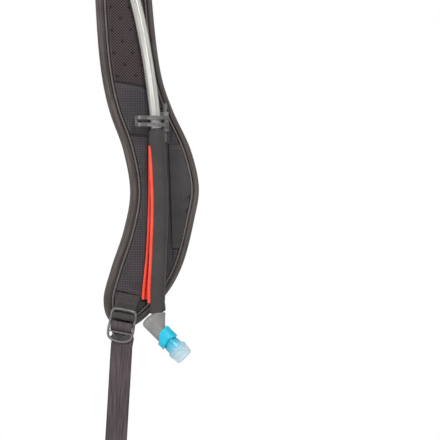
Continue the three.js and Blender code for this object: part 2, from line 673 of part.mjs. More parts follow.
// A ring round the barrel's mouth, longer at its two finger wings and slanted where it starts.
function shutoffCollar() {
  const { inner, outer, wing, start, slant, end, wingReach } = COLLAR;
  const rim = outer - 0.7;
  const wall = [[inner, 0], [rim, 0], [outer, 0.12], [outer, 0.88], [rim, 1], [inner, 1], [inner, 0]];
  const ring = lathe(wall, 32);
  const p = ring.attributes.position;
  for (let i = 0; i < p.count; i++) {
    const [x, z] = [p.getX(i), p.getZ(i)];
    const radius = Math.hypot(x, z);
    const sine = x / radius;
    const grow = radius > inner + 0.1 ? 1 + wing * sine ** 2 / radius : 1;
    const from = start + slant * sine;
    const to = end + wingReach * Math.abs(sine) ** 1.5;
    p.setXYZ(i, x * grow, THREE.MathUtils.lerp(from, to, p.getY(i)), z * grow);
  }
  return ring.applyMatrix4(valveFrame);
}

function biteValve() {
  const root = NIPPLE_RADIUS + GAP;
  const start = BARREL_LENGTH + 0.4;
  const profile = [
    [0, VALVE_END], [5, VALVE_END - 0.3], [7.6, VALVE_END - 0.9], [8.3, VALVE_END - 1.9],
    [9.2, 40.5], [9.8, 38.6], [9.2, 37.6], [7.7, 37], [7.4, 31.4], [7.05, 30.8], [7.05, start],
    [root, start], [root, NIPPLE_END], [6, 31], [6.3, 39], [5.2, VALVE_END - 4], [0, VALVE_END - 3.4],
  ];
  return lathe(profile).applyMatrix4(valveFrame);
}

// Stiff stem inside the soft mouthpiece that shuts the slit from within.
function valveCore() {
  const base = NIPPLE_END + GAP;
  const stem = [[0, base], [3.4, base], [3.4, 38], [4.4, 40], [4.4, 43.4], [3.6, 44.6], [0, 45]];
  return lathe(stem).applyMatrix4(valveFrame);
}

// ---------------------------------------------------------------- buckle and webbing

const buckleFrame = new THREE.Matrix4().makeRotationY(BUCKLE_TILT).setPosition(BUCKLE_PLACE);

function ladderLock() {
  const { halfWidth, shoulder, halfDepth, slotHalf, top, bottom } = BUCKLE;
  const frame = new THREE.Shape();
  frame.moveTo(-halfWidth, -6);
  frame.lineTo(-halfWidth + shoulder, top - 5);
  frame.quadraticCurveTo(-halfWidth + shoulder + 0.5, top - 0.4, -halfWidth + 6, top - 0.2);
  frame.quadraticCurveTo(0, top + 0.3, halfWidth - 6, top - 0.2);
  frame.quadraticCurveTo(halfWidth - shoulder - 0.5, top - 0.4, halfWidth - shoulder, top - 5);
  frame.lineTo(halfWidth, -6);
  frame.quadraticCurveTo(halfWidth - 0.5, bottom + 3, halfWidth - 6, bottom + 1);
  frame.quadraticCurveTo(0, bottom - 1, -halfWidth + 6, bottom + 1);
  frame.quadraticCurveTo(-halfWidth + 0.5, bottom + 3, -halfWidth, -6);
  const plate = straight(frame, 2 * halfDepth, 6).translate(0, 0, -halfDepth).rotateX(Math.PI / 2);
  const slots = SLOTS.map((z) => box([-slotHalf, slotHalf], [-halfDepth - 1, halfDepth + 1], z));
  const behindTab = box([-slotHalf - 4, slotHalf + 4], [0.3, halfDepth + 1], [bottom - 3, SLOTS[2][0] + 0.5]);
  return combine([plate], [...slots, behindTab]).applyMatrix4(buckleFrame);
}

// Carries a strip drawn as [depth, height] in the buckle's frame, its width along the bars, and lets
// it drift sideways by an amount that depends on the height.
function stripInBuckle(line, drift) {
  const turned = new THREE.Matrix4().makeBasis(
    new THREE.Vector3(0, 1, 0), new THREE.Vector3(0, 0, 1), new THREE.Vector3(1, 0, 0),
  );
  const strip = straight(stripShape(line, WEB_THICKNESS), WEB_WIDTH).translate(0, 0, -WEB_WIDTH / 2)
    .applyMatrix4(turned);
  const p = strip.attributes.position;
  for (let i = 0; i < p.count; i++) p.setX(i, p.getX(i) + drift(p.getZ(i)));
  return strip.applyMatrix4(buckleFrame);
}

const anchorDrift = (z) => ANCHOR_DRIFT * Math.max(z - BUCKLE_FLEX, 0);
const webDrift = (z) => WEB_SHIFT.by * (1 - THREE.MathUtils.smoothstep(z, WEB_SHIFT.to, WEB_SHIFT.from));

// The sewn stretch of the webbing that holds the buckle.
function anchorWebbing() {
  return stripInBuckle([[ANCHOR_DEPTH, 31], [ANCHOR_DEPTH, BUCKLE_FLEX + GAP]], anchorDrift);
}

// Its loop: down behind the rim, round the upper bar and back up.
function anchorLoop() {
  const bar = (SLOTS[0][0] + SLOTS[1][1]) / 2;
  const top = BUCKLE_FLEX - GAP;
  return stripInBuckle(smoothLine([
    [ANCHOR_DEPTH, top], [4.2, 14], [4.1, 9.6], [3.3, bar - 1.6], [1.4, bar - 2.2], [-0.8, bar - 2.2],
    [-2.6, bar - 1.4], [-2.95, bar + 0.3], [-2.2, bar + 1.9], [0, bar + 2.4], [1.6, bar + 2.9],
    [2.55, bar + 4.4], [2.65, 16], [2.65, top],
  ], 38), anchorDrift);
}

// The adjusting webbing where it climbs behind the middle bar, goes over it and comes down behind the tab.
function webbingWrap() {
  const low = WEB_FLEX + GAP;
  return stripInBuckle(smoothLine([
    [LOAD_DEPTH, low], [LOAD_DEPTH, -5], [3, -1], [2.85, 1.4], [1.9, 2.9], [0.2, 3.2], [-1.6, 3], [-2.8, 1.9],
    [-2.9, 0], [-2.3, -1.9], [-0.9, -3.4], [0.5, -4.4], [1.35, -5.8], [TAIL_DEPTH, -8], [TAIL_DEPTH, low],
  ], 40), webDrift);
}

// A hanging run of webbing, turned a little from the buckle, with its end folded into a hem.
function hangingWebbing(depth, end, hemSide) {
  const length = WEB_FLEX - GAP - end;
  const hemStart = length - HEM_LENGTH;
  const rows = 14;
  const plainRows = rows - 2;
  return bentBox(1, 1, rows, (a, b, c) => {
    const row = Math.round(c * rows);
    const hemmed = row > plainRows;
    const drop = [hemStart + GAP, length][row - plainRows - 1] ?? hemStart * row / plainRows;
    const turn = WEB_SKEW * THREE.MathUtils.smoothstep(drop, 0, 12);
    const across = WEB_WIDTH * (a - 0.5);
    const x = WEB_SHIFT.by + drop * Math.sin(WEB_SKEW) + across * Math.cos(turn);
    const z = WEB_FLEX - GAP - drop * Math.cos(WEB_SKEW) + across * Math.sin(turn);
    const face = Math.sign(b - 0.5);
    const fold = hemmed && face === hemSide ? hemSide * WEB_THICKNESS : 0;
    return new THREE.Vector3(x, depth + WEB_THICKNESS * (b - 0.5) + fold, z);
  }).applyMatrix4(buckleFrame);
}

// ---------------------------------------------------------------- assembly

const strap = new THREE.Group();

function add(name, geometry, material) {
  const mesh = new THREE.Mesh(facingOut(geometry), material.clone());
  mesh.name = name;
  strap.add(mesh);
}

add('foam_core', foamCore(), MATERIALS.foam);
add('back_lining', backLining(), MATERIALS.lining);
add('mesh_panel', meshPanel(), MATERIALS.mesh);
add('ripstop_panel_upper', ripstopUpper(), MATERIALS.ripstop);
add('ripstop_panel_lower', ripstopLower(), MATERIALS.ripstop);
add('tip_panel', tipPanel(), MATERIALS.ripstop);
add('edge_binding', edgeBinding(), MATERIALS.binding);
add('edge_piping', edgePiping(), MATERIALS.piping);
add('stretch_pocket', stretchPocket(), MATERIALS.ripstop);
add('top_tab', topTab(), MATERIALS.webbing);
add('strap_magnet', strapMagnet(), MATERIALS.metal);
add('strap_piping', strapPiping(), MATERIALS.red);
add('drink_tube', drinkTube(), MATERIALS.clearTube);
add('hose_keeper', hoseKeeper(), MATERIALS.webbing);
add('quick_connect_plug', quickConnectPlug(), MATERIALS.greyPlastic);
add('plug_seal', plugSeal(), MATERIALS.rubber);
add('clip_rail', rail(), MATERIALS.blackPlastic);
add('clip_slider', sliderBody(), MATERIALS.blackPlastic);
add('clip_pin', clipPin(), MATERIALS.metal);
add('clip_loop', clipLoop(), MATERIALS.blackPlastic);
add('sleeve_cuff', sleeveCuff(), MATERIALS.sleeve);
add('tube_in_cuff', tubeInCuff(), MATERIALS.clearTube);
for (let i = 0; i < HOSE_BENDS.length - 1; i++) {
  add(`sleeve_segment_${i + 1}`, sleeveSegment(i), MATERIALS.sleeve);
  add(`tube_segment_${i + 1}`, tubeSegment(i), MATERIALS.clearTube);
  add(`sleeve_piping_${i + 1}`, sleevePiping(i), MATERIALS.red);
}
add('sleeve_magnet', sleeveMagnet(), MATERIALS.metal);
add('elbow_body', elbowBody(), MATERIALS.greyPlastic);
add('shutoff_collar', shutoffCollar(), MATERIALS.cyan);
add('bite_valve', biteValve(), MATERIALS.silicone);
add('valve_core', valveCore(), MATERIALS.cyan);
add('ladder_lock', ladderLock(), MATERIALS.blackPlastic);
add('anchor_webbing', anchorWebbing(), MATERIALS.webbing);
add('anchor_loop', anchorLoop(), MATERIALS.webbing);
add('webbing_wrap', webbingWrap(), MATERIALS.webbing);
add('webbing_tail', hangingWebbing(TAIL_DEPTH, TAIL_END, -1), MATERIALS.webbing);
add('webbing_load', hangingWebbing(LOAD_DEPTH, LOAD_END, 1), MATERIALS.webbing);

export default strap;
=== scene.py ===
"""Looks of a hydration pack's shoulder strap with its drinking hose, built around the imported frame."""

import math

import bmesh
import bpy
import numpy as np
from mathutils import Matrix, Vector, noise


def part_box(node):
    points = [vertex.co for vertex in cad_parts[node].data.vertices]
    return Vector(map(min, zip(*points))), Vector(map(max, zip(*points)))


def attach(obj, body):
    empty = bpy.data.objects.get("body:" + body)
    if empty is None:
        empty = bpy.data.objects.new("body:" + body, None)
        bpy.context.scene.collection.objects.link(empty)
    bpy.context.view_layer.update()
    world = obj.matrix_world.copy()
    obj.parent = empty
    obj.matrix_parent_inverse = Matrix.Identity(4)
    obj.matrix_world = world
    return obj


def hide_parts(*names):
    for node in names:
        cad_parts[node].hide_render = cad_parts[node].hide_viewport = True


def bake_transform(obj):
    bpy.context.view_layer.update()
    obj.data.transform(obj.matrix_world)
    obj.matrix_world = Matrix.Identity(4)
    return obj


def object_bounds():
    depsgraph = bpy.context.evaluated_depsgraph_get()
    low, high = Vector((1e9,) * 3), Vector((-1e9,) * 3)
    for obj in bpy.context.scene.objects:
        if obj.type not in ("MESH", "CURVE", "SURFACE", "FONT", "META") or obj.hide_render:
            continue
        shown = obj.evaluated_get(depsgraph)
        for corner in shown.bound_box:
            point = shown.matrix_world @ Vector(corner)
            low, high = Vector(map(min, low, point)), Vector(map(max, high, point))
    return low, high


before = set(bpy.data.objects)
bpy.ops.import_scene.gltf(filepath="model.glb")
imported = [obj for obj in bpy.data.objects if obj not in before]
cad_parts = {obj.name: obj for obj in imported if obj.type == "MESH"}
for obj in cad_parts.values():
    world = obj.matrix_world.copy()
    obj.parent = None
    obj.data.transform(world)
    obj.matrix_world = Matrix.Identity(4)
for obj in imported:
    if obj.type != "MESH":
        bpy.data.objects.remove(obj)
cad_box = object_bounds()

MM = 0.001
TAU = 2 * math.pi
FORWARD = (0, -1, 0)
BACKWARD = (0, 1, 0)

# Millimetres: sizes that both the looks and the shapes use.
NET_PITCH = 1.9
WEB_WIDTH = 20
BARREL_BACK = (27, -408.8)
BARREL_AXIS = (1, 0, -1)

# ---------------------------------------------------------------- camera, floor and lights

# Metres: the point that the camera looks at, how wide it sees there, and how far away it stands.
VIEW_CENTRE = Vector((0.0938, -0.085, -0.3174))
VIEW_WIDTH = 0.4048
VIEW_DISTANCE = 2.5
SENSOR = 36
AMBIENT = 0.5
FLOOR_SIZE = 2.4
FLOOR_DROP = 0.02
LIGHTS = {
    "key": dict(place=(0.55, -1.6, 0.9), size=(0.4, 1.2), power=27),
    "rim": dict(place=(-1.3, -1.2, 0.2), size=(0.3, 1.6), power=14),
}


def set_camera():
    data = bpy.data.cameras.new("camera")
    data.sensor_width = SENSOR
    data.lens = SENSOR * VIEW_DISTANCE / VIEW_WIDTH
    data.clip_end = 100
    camera = bpy.data.objects.new("camera", data)
    camera.location = VIEW_CENTRE - Vector((0, VIEW_DISTANCE, 0))
    camera.rotation_euler = (math.pi / 2, 0, 0)
    bpy.context.collection.objects.link(camera)
    bpy.context.scene.camera = camera


def area_light(name, place, size, power):
    data = bpy.data.lights.new(name, "AREA")
    data.shape = "RECTANGLE"
    data.size, data.size_y = size
    data.energy = power
    light = bpy.data.objects.new(name, data)
    light.location = place
    light.rotation_euler = (VIEW_CENTRE - Vector(place)).to_track_quat("-Z", "Y").to_euler()
    bpy.context.collection.objects.link(light)


def set_studio():
    """A white backdrop that lights the part softly, two lamps and a pale floor."""
    scene = bpy.context.scene
    scene.view_settings.view_transform = "Standard"
    world = bpy.data.worlds.new("studio")
    world.use_nodes = True
    tree = world.node_tree
    background = tree.nodes["Background"]
    background.inputs["Color"].default_value = (1, 1, 1, 1)
    seen = add(tree, "LightPath", out="Is Camera Ray")
    through = add(tree, "LightPath", out="Is Transmission Ray")
    backdrop = math_node(tree, "MAXIMUM", seen, through)
    tree.links.new(ranged(tree, backdrop, 0, 1, AMBIENT, 1.0), background.inputs["Strength"])
    scene.world = world
    for name, light in LIGHTS.items():
        area_light(name, **light)
    bpy.ops.mesh.primitive_plane_add(size=FLOOR_SIZE, location=(0.05, -0.1, cad_box[0][2] - FLOOR_DROP))
    floor = bpy.context.object
    floor.name = "floor"
    floor.data.materials.append(plain_material("floor_paint", (0.9, 0.9, 0.9), 0.8))


# ---------------------------------------------------------------- material nodes


def linear(*screen):
    """A colour given as 0 to 255 screen values, in linear light."""
    shares = [c / 255 for c in screen]
    return (*(s / 12.92 if s <= 0.0404 else ((s + 0.055) / 1.055) ** 2.4 for s in shares), 1)


def add(tree, kind, inputs=None, out=0, **settings):
    """A new node with values or links for its inputs; gives one of its outputs."""
    made = tree.nodes.new("ShaderNode" + kind)
    for key, value in settings.items():
        setattr(made, key, value)
    for key, value in (inputs or {}).items():
        if isinstance(value, bpy.types.NodeSocket):
            tree.links.new(value, made.inputs[key])
        else:
            made.inputs[key].default_value = value
    return made.outputs[out]


def parts_of(tree, vector):
    """The X, Y and Z of a vector."""
    split = tree.nodes.new("ShaderNodeSeparateXYZ")
    tree.links.new(vector, split.inputs[0])
    return split.outputs


def math_node(tree, operation, a, b=0.0, c=0.0):
    return add(tree, "Math", {0: a, 1: b, 2: c}, operation=operation)


def mix(tree, factor, a, b):
    return add(tree, "MixRGB", {"Fac": factor, "Color1": a, "Color2": b})


def ranged(tree, value, low, high, start=0.0, end=1.0):
    """A value from low to high turned into one from start to end."""
    return add(tree, "MapRange", {0: value, 1: low, 2: high, 3: start, 4: end})


def new_material(name, roughness=0.8, **sockets):
    material = bpy.data.materials.new(name)
    material.use_nodes = True
    shader = material.node_tree.nodes["Principled BSDF"]
    shader.inputs["Roughness"].default_value = roughness
    for key, value in sockets.items():
        shader.inputs[key.replace("_", " ")].default_value = value
    return material, material.node_tree, shader


def plain_material(name, color, roughness):
    material, tree, shader = new_material(name, roughness)
    grain = add(tree, "TexNoise", {"Scale": 40, "Detail": 3})
    shade = tuple(c * 0.97 for c in color)
    link(shader, Base_Color=mix(tree, grain, (*shade, 1), (*color, 1)))
    return material


def link(shader, **inputs):
    """Links values into a shader's inputs."""
    for key, value in inputs.items():
        shader.id_data.links.new(value, shader.inputs[key.replace("_", " ")])


def bumps(tree, height, strength, depth):
    return add(tree, "Bump", {"Strength": strength, "Distance": depth * MM, "Height": height})


def thread_space(tree, angle=0.0):
    """The cloth's own coordinates in millimetres, turned by an angle."""
    uv = add(tree, "TexCoord", out="UV")
    return add(tree, "Mapping", {"Vector": uv, "Rotation": (0, 0, math.radians(angle))})


def wave(tree, value, period):
    return math_node(tree, "SINE", math_node(tree, "MULTIPLY", value, TAU / period))


def halved(tree, value):
    """A value from -1 to 1 turned into one from 0 to 1."""
    return math_node(tree, "MULTIPLY_ADD", value, 0.5, 0.5)


def plain_weave(tree, space, warp, weft):
    """Threads that pass over and under each other, from 0 in the gaps to 1 on top of a thread."""
    x, y, _ = parts_of(tree, space)
    return halved(tree, math_node(tree, "MULTIPLY", wave(tree, x, warp), wave(tree, y, weft)))


def herringbone(tree, space, rib, slope, width):
    """Ribs that climb one way, then the other, in stripes of a width."""
    x, y, _ = parts_of(tree, space)
    climbing = math_node(tree, "MULTIPLY_ADD", math_node(tree, "PINGPONG", x, width), slope, y)
    return halved(tree, wave(tree, climbing, rib))


def streaks(tree, space, across, along):
    """Soft lengthwise streaks, from their sizes across and along the cloth."""
    drawn = add(tree, "VectorMath", {0: space, 1: (1 / across, 1 / along, 1)}, operation="MULTIPLY")
    return ranged(tree, add(tree, "TexNoise", {"Vector": drawn, "Scale": 1.0, "Detail": 2}), 0.35, 0.65)


def streaked_weave(tree, space, rib, slope, width, across, along):
    """Herringbone with soft streaks over it."""
    woven = math_node(tree, "MULTIPLY", herringbone(tree, space, rib, slope, width), 0.55)
    return math_node(tree, "MULTIPLY_ADD", streaks(tree, space, across, along), 0.45, woven)


def ribbed_webbing(tree, space, rib, slope, width):
    """Webbing's herringbone with faint ribs down its length and darker woven edges."""
    woven = streaked_weave(tree, space, rib, slope, width, across=1.3, along=33)
    from_middle = math_node(tree, "ABSOLUTE", parts_of(tree, space)[0])
    edge = ranged(tree, from_middle, WEB_WIDTH / 2 - 1.6, WEB_WIDTH / 2 - 0.2, 1.0, 0.35)
    return math_node(tree, "MULTIPLY", woven, edge)


def net(tree, space, pitch):
    """Open knit: 0 inside a hole, 1 on a thread."""
    cell = add(tree, "TexVoronoi", {"Vector": space, "Scale": 1 / pitch, "Randomness": 0.0},
               voronoi_dimensions="2D")
    return ranged(tree, cell, 0.22, 0.5)


def cloudy(tree, scale, detail=4.0):
    """Soft patches that stay with the piece."""
    place = add(tree, "TexCoord", out="Object")
    return add(tree, "TexNoise", {"Vector": place, "Scale": scale, "Detail": detail})


def finish_cloth(tree, shader, height, dark, light, strength, depth, wear):
    """Colour and bump from a thread pattern, with soft patches and edge wear over it."""
    convex_edges = ranged(tree, add(tree, "NewGeometry", out="Pointiness"), 0.52, 0.62)
    patches = ranged(tree, cloudy(tree, 55), 0.3, 0.7, 0.86, 1.12)
    thread = mix(tree, height, linear(*dark), linear(*light))
    shaded = add(tree, "VectorMath", {0: thread, 3: patches}, operation="SCALE")
    lighter = tuple(min(c * 1.25 + 4, 255) for c in light)
    color = mix(tree, math_node(tree, "MULTIPLY", convex_edges, wear), shaded, linear(*lighter))
    fuzz = math_node(tree, "MULTIPLY_ADD", cloudy(tree, 2400, 2.0), 0.35, height)
    rough = ranged(tree, height, 0.0, 1.0, 0.95, 0.72)
    link(shader, Base_Color=color, Normal=bumps(tree, fuzz, strength, depth), Roughness=rough)


def cloth(name, pattern, dark, light, strength, depth, sheen=0.1, angle=0.0, wear=0.3, **sizes):
    """Cloth of a thread pattern: colours in its gaps and on its threads, bump strength and depth, sheen."""
    material, tree, shader = new_material(name, 0.85, Sheen_Weight=sheen, Sheen_Roughness=0.5)
    shader.inputs["Specular IOR Level"].default_value = 0.25
    height = pattern(tree, thread_space(tree, angle), **sizes)
    finish_cloth(tree, shader, height, dark, light, strength, depth, wear)
    return material


def ripstop_weave(tree, space, fine, grid):
    """Fine plain weave with a grid of thicker threads."""
    weave = plain_weave(tree, space, fine, fine)
    x, y, _ = parts_of(tree, space)
    ridge = math_node(tree, "MAXIMUM", *(ranged(tree, wave(tree, way, grid), 0.72, 0.98) for way in (x, y)))
    return math_node(tree, "MULTIPLY_ADD", ridge, 0.55, math_node(tree, "MULTIPLY", weave, 0.45))


def moulded(name, dark, light, roughness, grain=900, rub=0.4, edge=(0.53, 0.66), **sockets):
    """Moulded plastic: fine grain, faint flow marks and lighter convex edges, partly rubbed wear and partly
    painted highlight.
    """
    material, tree, shader = new_material(name, roughness, **sockets)
    flow = ranged(tree, cloudy(tree, 60), 0.3, 0.7)
    # Convex edges are lightened here: partly rubbed wear, partly a painted highlight.
    convex_edges = ranged(tree, add(tree, "NewGeometry", out="Pointiness"), *edge)
    color = mix(tree, flow, linear(*dark), linear(*light))
    wear_and_highlight_tone = tuple(min(c * 1.2 + 20 * rub, 255) for c in light)
    wear_and_highlight_color = mix(tree, math_node(tree, "MULTIPLY", convex_edges, rub), color, linear(*wear_and_highlight_tone))
    fine = cloudy(tree, grain, 3.0)
    rough = ranged(tree, fine, 0.2, 0.8, roughness * 0.85, roughness * 1.2)
    link(shader, Base_Color=wear_and_highlight_color, Normal=bumps(tree, fine, 0.12, 0.05), Roughness=rough)
    return material


def clear_plastic(name, tint, cloud):
    """Soft clear plastic: slightly cloudy, with lengthwise streaks that are partly faint draw lines and
    partly painted reflection.
    """
    material, tree, shader = new_material(name, 0.14, Transmission_Weight=0.45, IOR=1.45)
    shader.inputs["Coat Weight"].default_value = 0.25
    shader.inputs["Coat Roughness"].default_value = 0.06
    # Grey and milky white streaks along the tube: partly draw lines, partly painted reflection streaks.
    drawn = add(tree, "VectorMath", {0: thread_space(tree), 1: (0.45, 0.012, 1)}, operation="MULTIPLY")
    draw_lines_and_reflections = ranged(tree, add(tree, "TexNoise", {"Vector": drawn, "Scale": 1.0, "Detail": 3}), 0.36, 0.6)
    color = mix(tree, draw_lines_and_reflections, linear(*tint), linear(*cloud))
    link(shader, Base_Color=color, Normal=bumps(tree, cloudy(tree, 220, 2.0), 0.1, 0.1))
    return material


def tinted_silicone(name):
    """Clear silicone that takes a blue tint towards its root, where the stem inside shows through."""
    material, tree, shader = new_material(name, 0.22, Transmission_Weight=0.35, IOR=1.41)
    axis = Vector(BARREL_AXIS).normalized()
    down = add(tree, "VectorMath", {0: add(tree, "TexCoord", out="Object"), 1: tuple(axis)}, out="Value",
               operation="DOT_PRODUCT")
    back = axis.dot(Vector((BARREL_BACK[0], 0, BARREL_BACK[1])))
    ends = [(back + reach) * MM for reach in (31, 43)]
    clearer = ranged(tree, down, *ends)
    haze = mix(tree, cloudy(tree, 120), linear(178, 216, 230), linear(234, 242, 245))
    color = mix(tree, clearer, linear(44, 192, 226), haze)
    link(shader, Base_Color=color, Normal=bumps(tree, cloudy(tree, 260, 2.0), 0.1, 0.1))
    return material


def metal(name, color, roughness):
    material, tree, shader = new_material(name, roughness, Metallic=1.0)
    scratches = add(tree, "TexNoise", {"Scale": 700, "Detail": 4})
    darker = linear(*(c * 0.8 for c in color))
    rough = ranged(tree, scratches, 0.3, 0.7, roughness * 0.7, roughness * 1.4)
    link(shader, Base_Color=mix(tree, scratches, linear(*color), darker), Roughness=rough)
    return material


TWILL = dict(pattern=herringbone, width=400)
STRIP = dict(strength=0.8, depth=0.25, sheen=0.08, rib=1.15, slope=0.55, width=2.5)
RED = dict(TWILL, strength=0.4, depth=0.1, sheen=0.05, wear=0.0, rib=0.8, slope=0.8)
CLOTHS = {
    "spacer_mesh": dict(pattern=net, dark=(8, 6, 7), light=(74, 63, 64), strength=0.8, depth=0.4, angle=45,
                        pitch=NET_PITCH),
    "ripstop": dict(pattern=ripstop_weave, dark=(37, 34, 36), light=(78, 73, 77), strength=0.6, depth=0.14,
                    fine=0.42, grid=2.3),
    "edge_cloth": dict(pattern=streaked_weave, dark=(34, 29, 30), light=(98, 90, 87), strength=0.6,
                       depth=0.16, sheen=0.12, rib=0.75, slope=0.9, width=400, across=1.6, along=45),
    "stretch_cloth": dict(pattern=plain_weave, dark=(38, 36, 37), light=(76, 72, 74), strength=0.5,
                          depth=0.12, warp=0.6, weft=0.45),
    "air_mesh": dict(pattern=net, dark=(12, 10, 11), light=(68, 63, 64), strength=0.9, depth=0.6, angle=45,
                     pitch=2.0),
    "pale_piping": dict(TWILL, dark=(72, 66, 65), light=(116, 108, 105), strength=0.5, depth=0.12, rib=0.7,
                        slope=1.0),
    # The cords' red is lighter than the tape's, though both are one fabric: a painted highlight where the
    # cords catch the light.
    "red_piping": dict(RED, dark=(214, 48, 30), light=(255, 104, 84)),
    "red_tape": dict(RED, dark=(222, 36, 18), light=(250, 62, 40)),
    "sleeve_cloth": dict(pattern=plain_weave, dark=(42, 40, 40), light=(73, 69, 68), strength=0.35,
                         depth=0.08, wear=0.0, warp=0.5, weft=0.5),
    "webbing": dict(STRIP, pattern=herringbone, dark=(34, 32, 32), light=(80, 75, 75)),
    "webbing_strip": dict(STRIP, pattern=ribbed_webbing, dark=(30, 26, 28), light=(98, 86, 89)),
    "thread": dict(TWILL, dark=(50, 44, 46), light=(92, 84, 86), strength=0.5, depth=0.1, sheen=0.05,
                   rib=0.4, slope=0.9),
    "foam": dict(pattern=net, dark=(20, 20, 20), light=(44, 44, 44), strength=0.5, depth=0.2, sheen=0.0,
                 angle=20, pitch=0.8),
}
# Strongly lightened convex edges for the darkest plastics: mostly a painted highlight on their rims, with
# some rubbed wear.
WEAR_AND_HIGHLIGHT_EDGES = dict(grain=1400, rub=1.0, edge=(0.5, 0.56))
PLASTICS = {
    "cyan_plastic": dict(dark=(0, 162, 192), light=(4, 185, 213), roughness=0.42),
    "grey_plastic": dict(dark=(114, 113, 112), light=(142, 141, 140), roughness=0.5),
    "dark_plastic": dict(WEAR_AND_HIGHLIGHT_EDGES, dark=(62, 58, 58), light=(90, 86, 86), roughness=0.42, Coat_Weight=0.15),
    # A darker copy of the dark plastic: painted shade for the clip's rail, the groove between the slider's
    # ridges and the lock's tab.
    "painted_shade_plastic": dict(WEAR_AND_HIGHLIGHT_EDGES, dark=(38, 36, 36), light=(58, 55, 55), roughness=0.45),
    "clip_plastic": dict(dark=(62, 60, 60), light=(90, 88, 88), roughness=0.35, grain=1400, rub=0.85,
                         Coat_Weight=0.4),
    "seal_rubber": dict(dark=(26, 26, 26), light=(38, 38, 38), roughness=0.7),
}


def make_materials():
    made = {name: cloth(name, **look) for name, look in CLOTHS.items()}
    made.update({name: moulded(name, **look) for name, look in PLASTICS.items()})
    made["clear_tube"] = clear_plastic("clear_tube", (174, 171, 166), (233, 231, 226))
    made["clear_silicone"] = tinted_silicone("clear_silicone")
    made["magnet"] = metal("magnet", (180, 180, 184), 0.2)
    made["steel"] = metal("steel", (172, 172, 174), 0.3)
    return made


set_camera()
set_studio()
MATERIALS = make_materials()

# ---------------------------------------------------------------- mesh helpers, all sizes in millimetres


def smoothstep(value, low, high):
    t = np.clip((np.asarray(value, float) - low) / (high - low), 0, 1)
    return t * t * (3 - 2 * t)


def bell(distance, width):
    """1 where a distance is 0, falling away to nearly 0 at twice a width."""
    return np.exp(-(distance / width)**2)


def lerp(a, b, t):
    return a + (b - a) * t


def unit(vectors):
    """The same directions, each 1 long."""
    return vectors / np.linalg.norm(vectors, axis=-1, keepdims=True)


def run_along(line):
    """The distance from a line's start to each of its points."""
    return np.concatenate([[0], np.cumsum(np.linalg.norm(np.diff(line, axis=0), axis=1))])


def full_turn(count):
    return np.linspace(0, TAU, count, endpoint=False)


def uv_grid(across, run):
    return np.stack(np.meshgrid(across, run), -1)


def resample(line, count):
    """Evenly spaced points along a line."""
    along = run_along(line)
    places = np.linspace(0, along[-1], count)
    return np.stack([np.interp(places, along, line[:, i]) for i in range(line.shape[1])], -1)


def spline(points, count, closed=False):
    """A smooth curve through the points, with evenly spaced samples."""
    p = np.asarray(points, float)
    if closed:
        p = np.vstack([p[-1], p, p[:2]])
    else:
        p = np.vstack([2 * p[0] - p[1], p, 2 * p[-1] - p[-2]])
    gap = np.sqrt(np.linalg.norm(np.diff(p, axis=0), axis=1)) + 1e-9
    t = np.linspace(0, 1, 24, endpoint=False)[:, None]
    parts = []
    for i in range(1, len(p) - 2):
        a, b, c, d = p[i - 1:i + 3]
        g0, g1, g2 = gap[i - 1:i + 2]
        out_b = ((b - a) / g0 - (c - a) / (g0 + g1) + (c - b) / g1) * g1
        in_c = ((c - b) / g1 - (d - b) / (g1 + g2) + (d - c) / g2) * g1
        parts.append(b * (2 * t**3 - 3 * t**2 + 1) + out_b * (t**3 - 2 * t**2 + t)
                     + c * (3 * t**2 - 2 * t**3) + in_c * (t**3 - t**2))
    parts.append(p[-2][None])
    line = resample(np.vstack(parts), count + 1 if closed else count)
    return line[:-1] if closed else line


def ripple(size, *place, seed=0.0):
    """Smooth noise from -1 to 1, with waves of a size, at places given by two or three coordinates."""
    place = np.broadcast_arrays(*place, *[0.0] * (3 - len(place)))
    points = np.stack(place, -1).reshape(-1, 3)
    values = [noise.noise(Vector(p) / size + Vector((seed, seed * 1.7, 0))) for p in points]
    return np.array(values).reshape(place[0].shape)


def mesh_object(name, verts, faces, uv=None, sharp=38):
    """A smooth mesh from points in millimetres, with edges sharper than an angle kept sharp."""
    mesh = bpy.data.meshes.new(name)
    mesh.from_pydata((np.asarray(verts) * MM).tolist(), [], faces)
    mesh.validate()
    if uv is not None:
        layer = mesh.uv_layers.new(name="threads")
        corners = np.empty(len(mesh.loops), int)
        mesh.loops.foreach_get("vertex_index", corners)
        layer.data.foreach_set("uv", np.asarray(uv, float)[corners].ravel())
    piece = bpy.data.objects.new(name, mesh)
    bpy.context.collection.objects.link(piece)
    tidy = bmesh.new()
    tidy.from_mesh(mesh)
    bmesh.ops.remove_doubles(tidy, verts=tidy.verts, dist=1e-6)
    bmesh.ops.recalc_face_normals(tidy, faces=tidy.faces)
    tidy.to_mesh(mesh)
    tidy.free()
    mesh.shade_smooth()
    mesh.set_sharp_from_angle(angle=math.radians(sharp))
    return piece


def grid_faces(rows, cols, start=0, flip=False, around=False):
    """The squares of a grid of points; around closes each row on itself."""
    faces = []
    for row in range(start, start + (rows - 1) * cols, cols):
        for a in range(cols if around else cols - 1):
            b = (a + 1) % cols
            quad = [row + a, row + b, row + cols + b, row + cols + a]
            faces.append(quad[::-1] if flip else quad)
    return faces


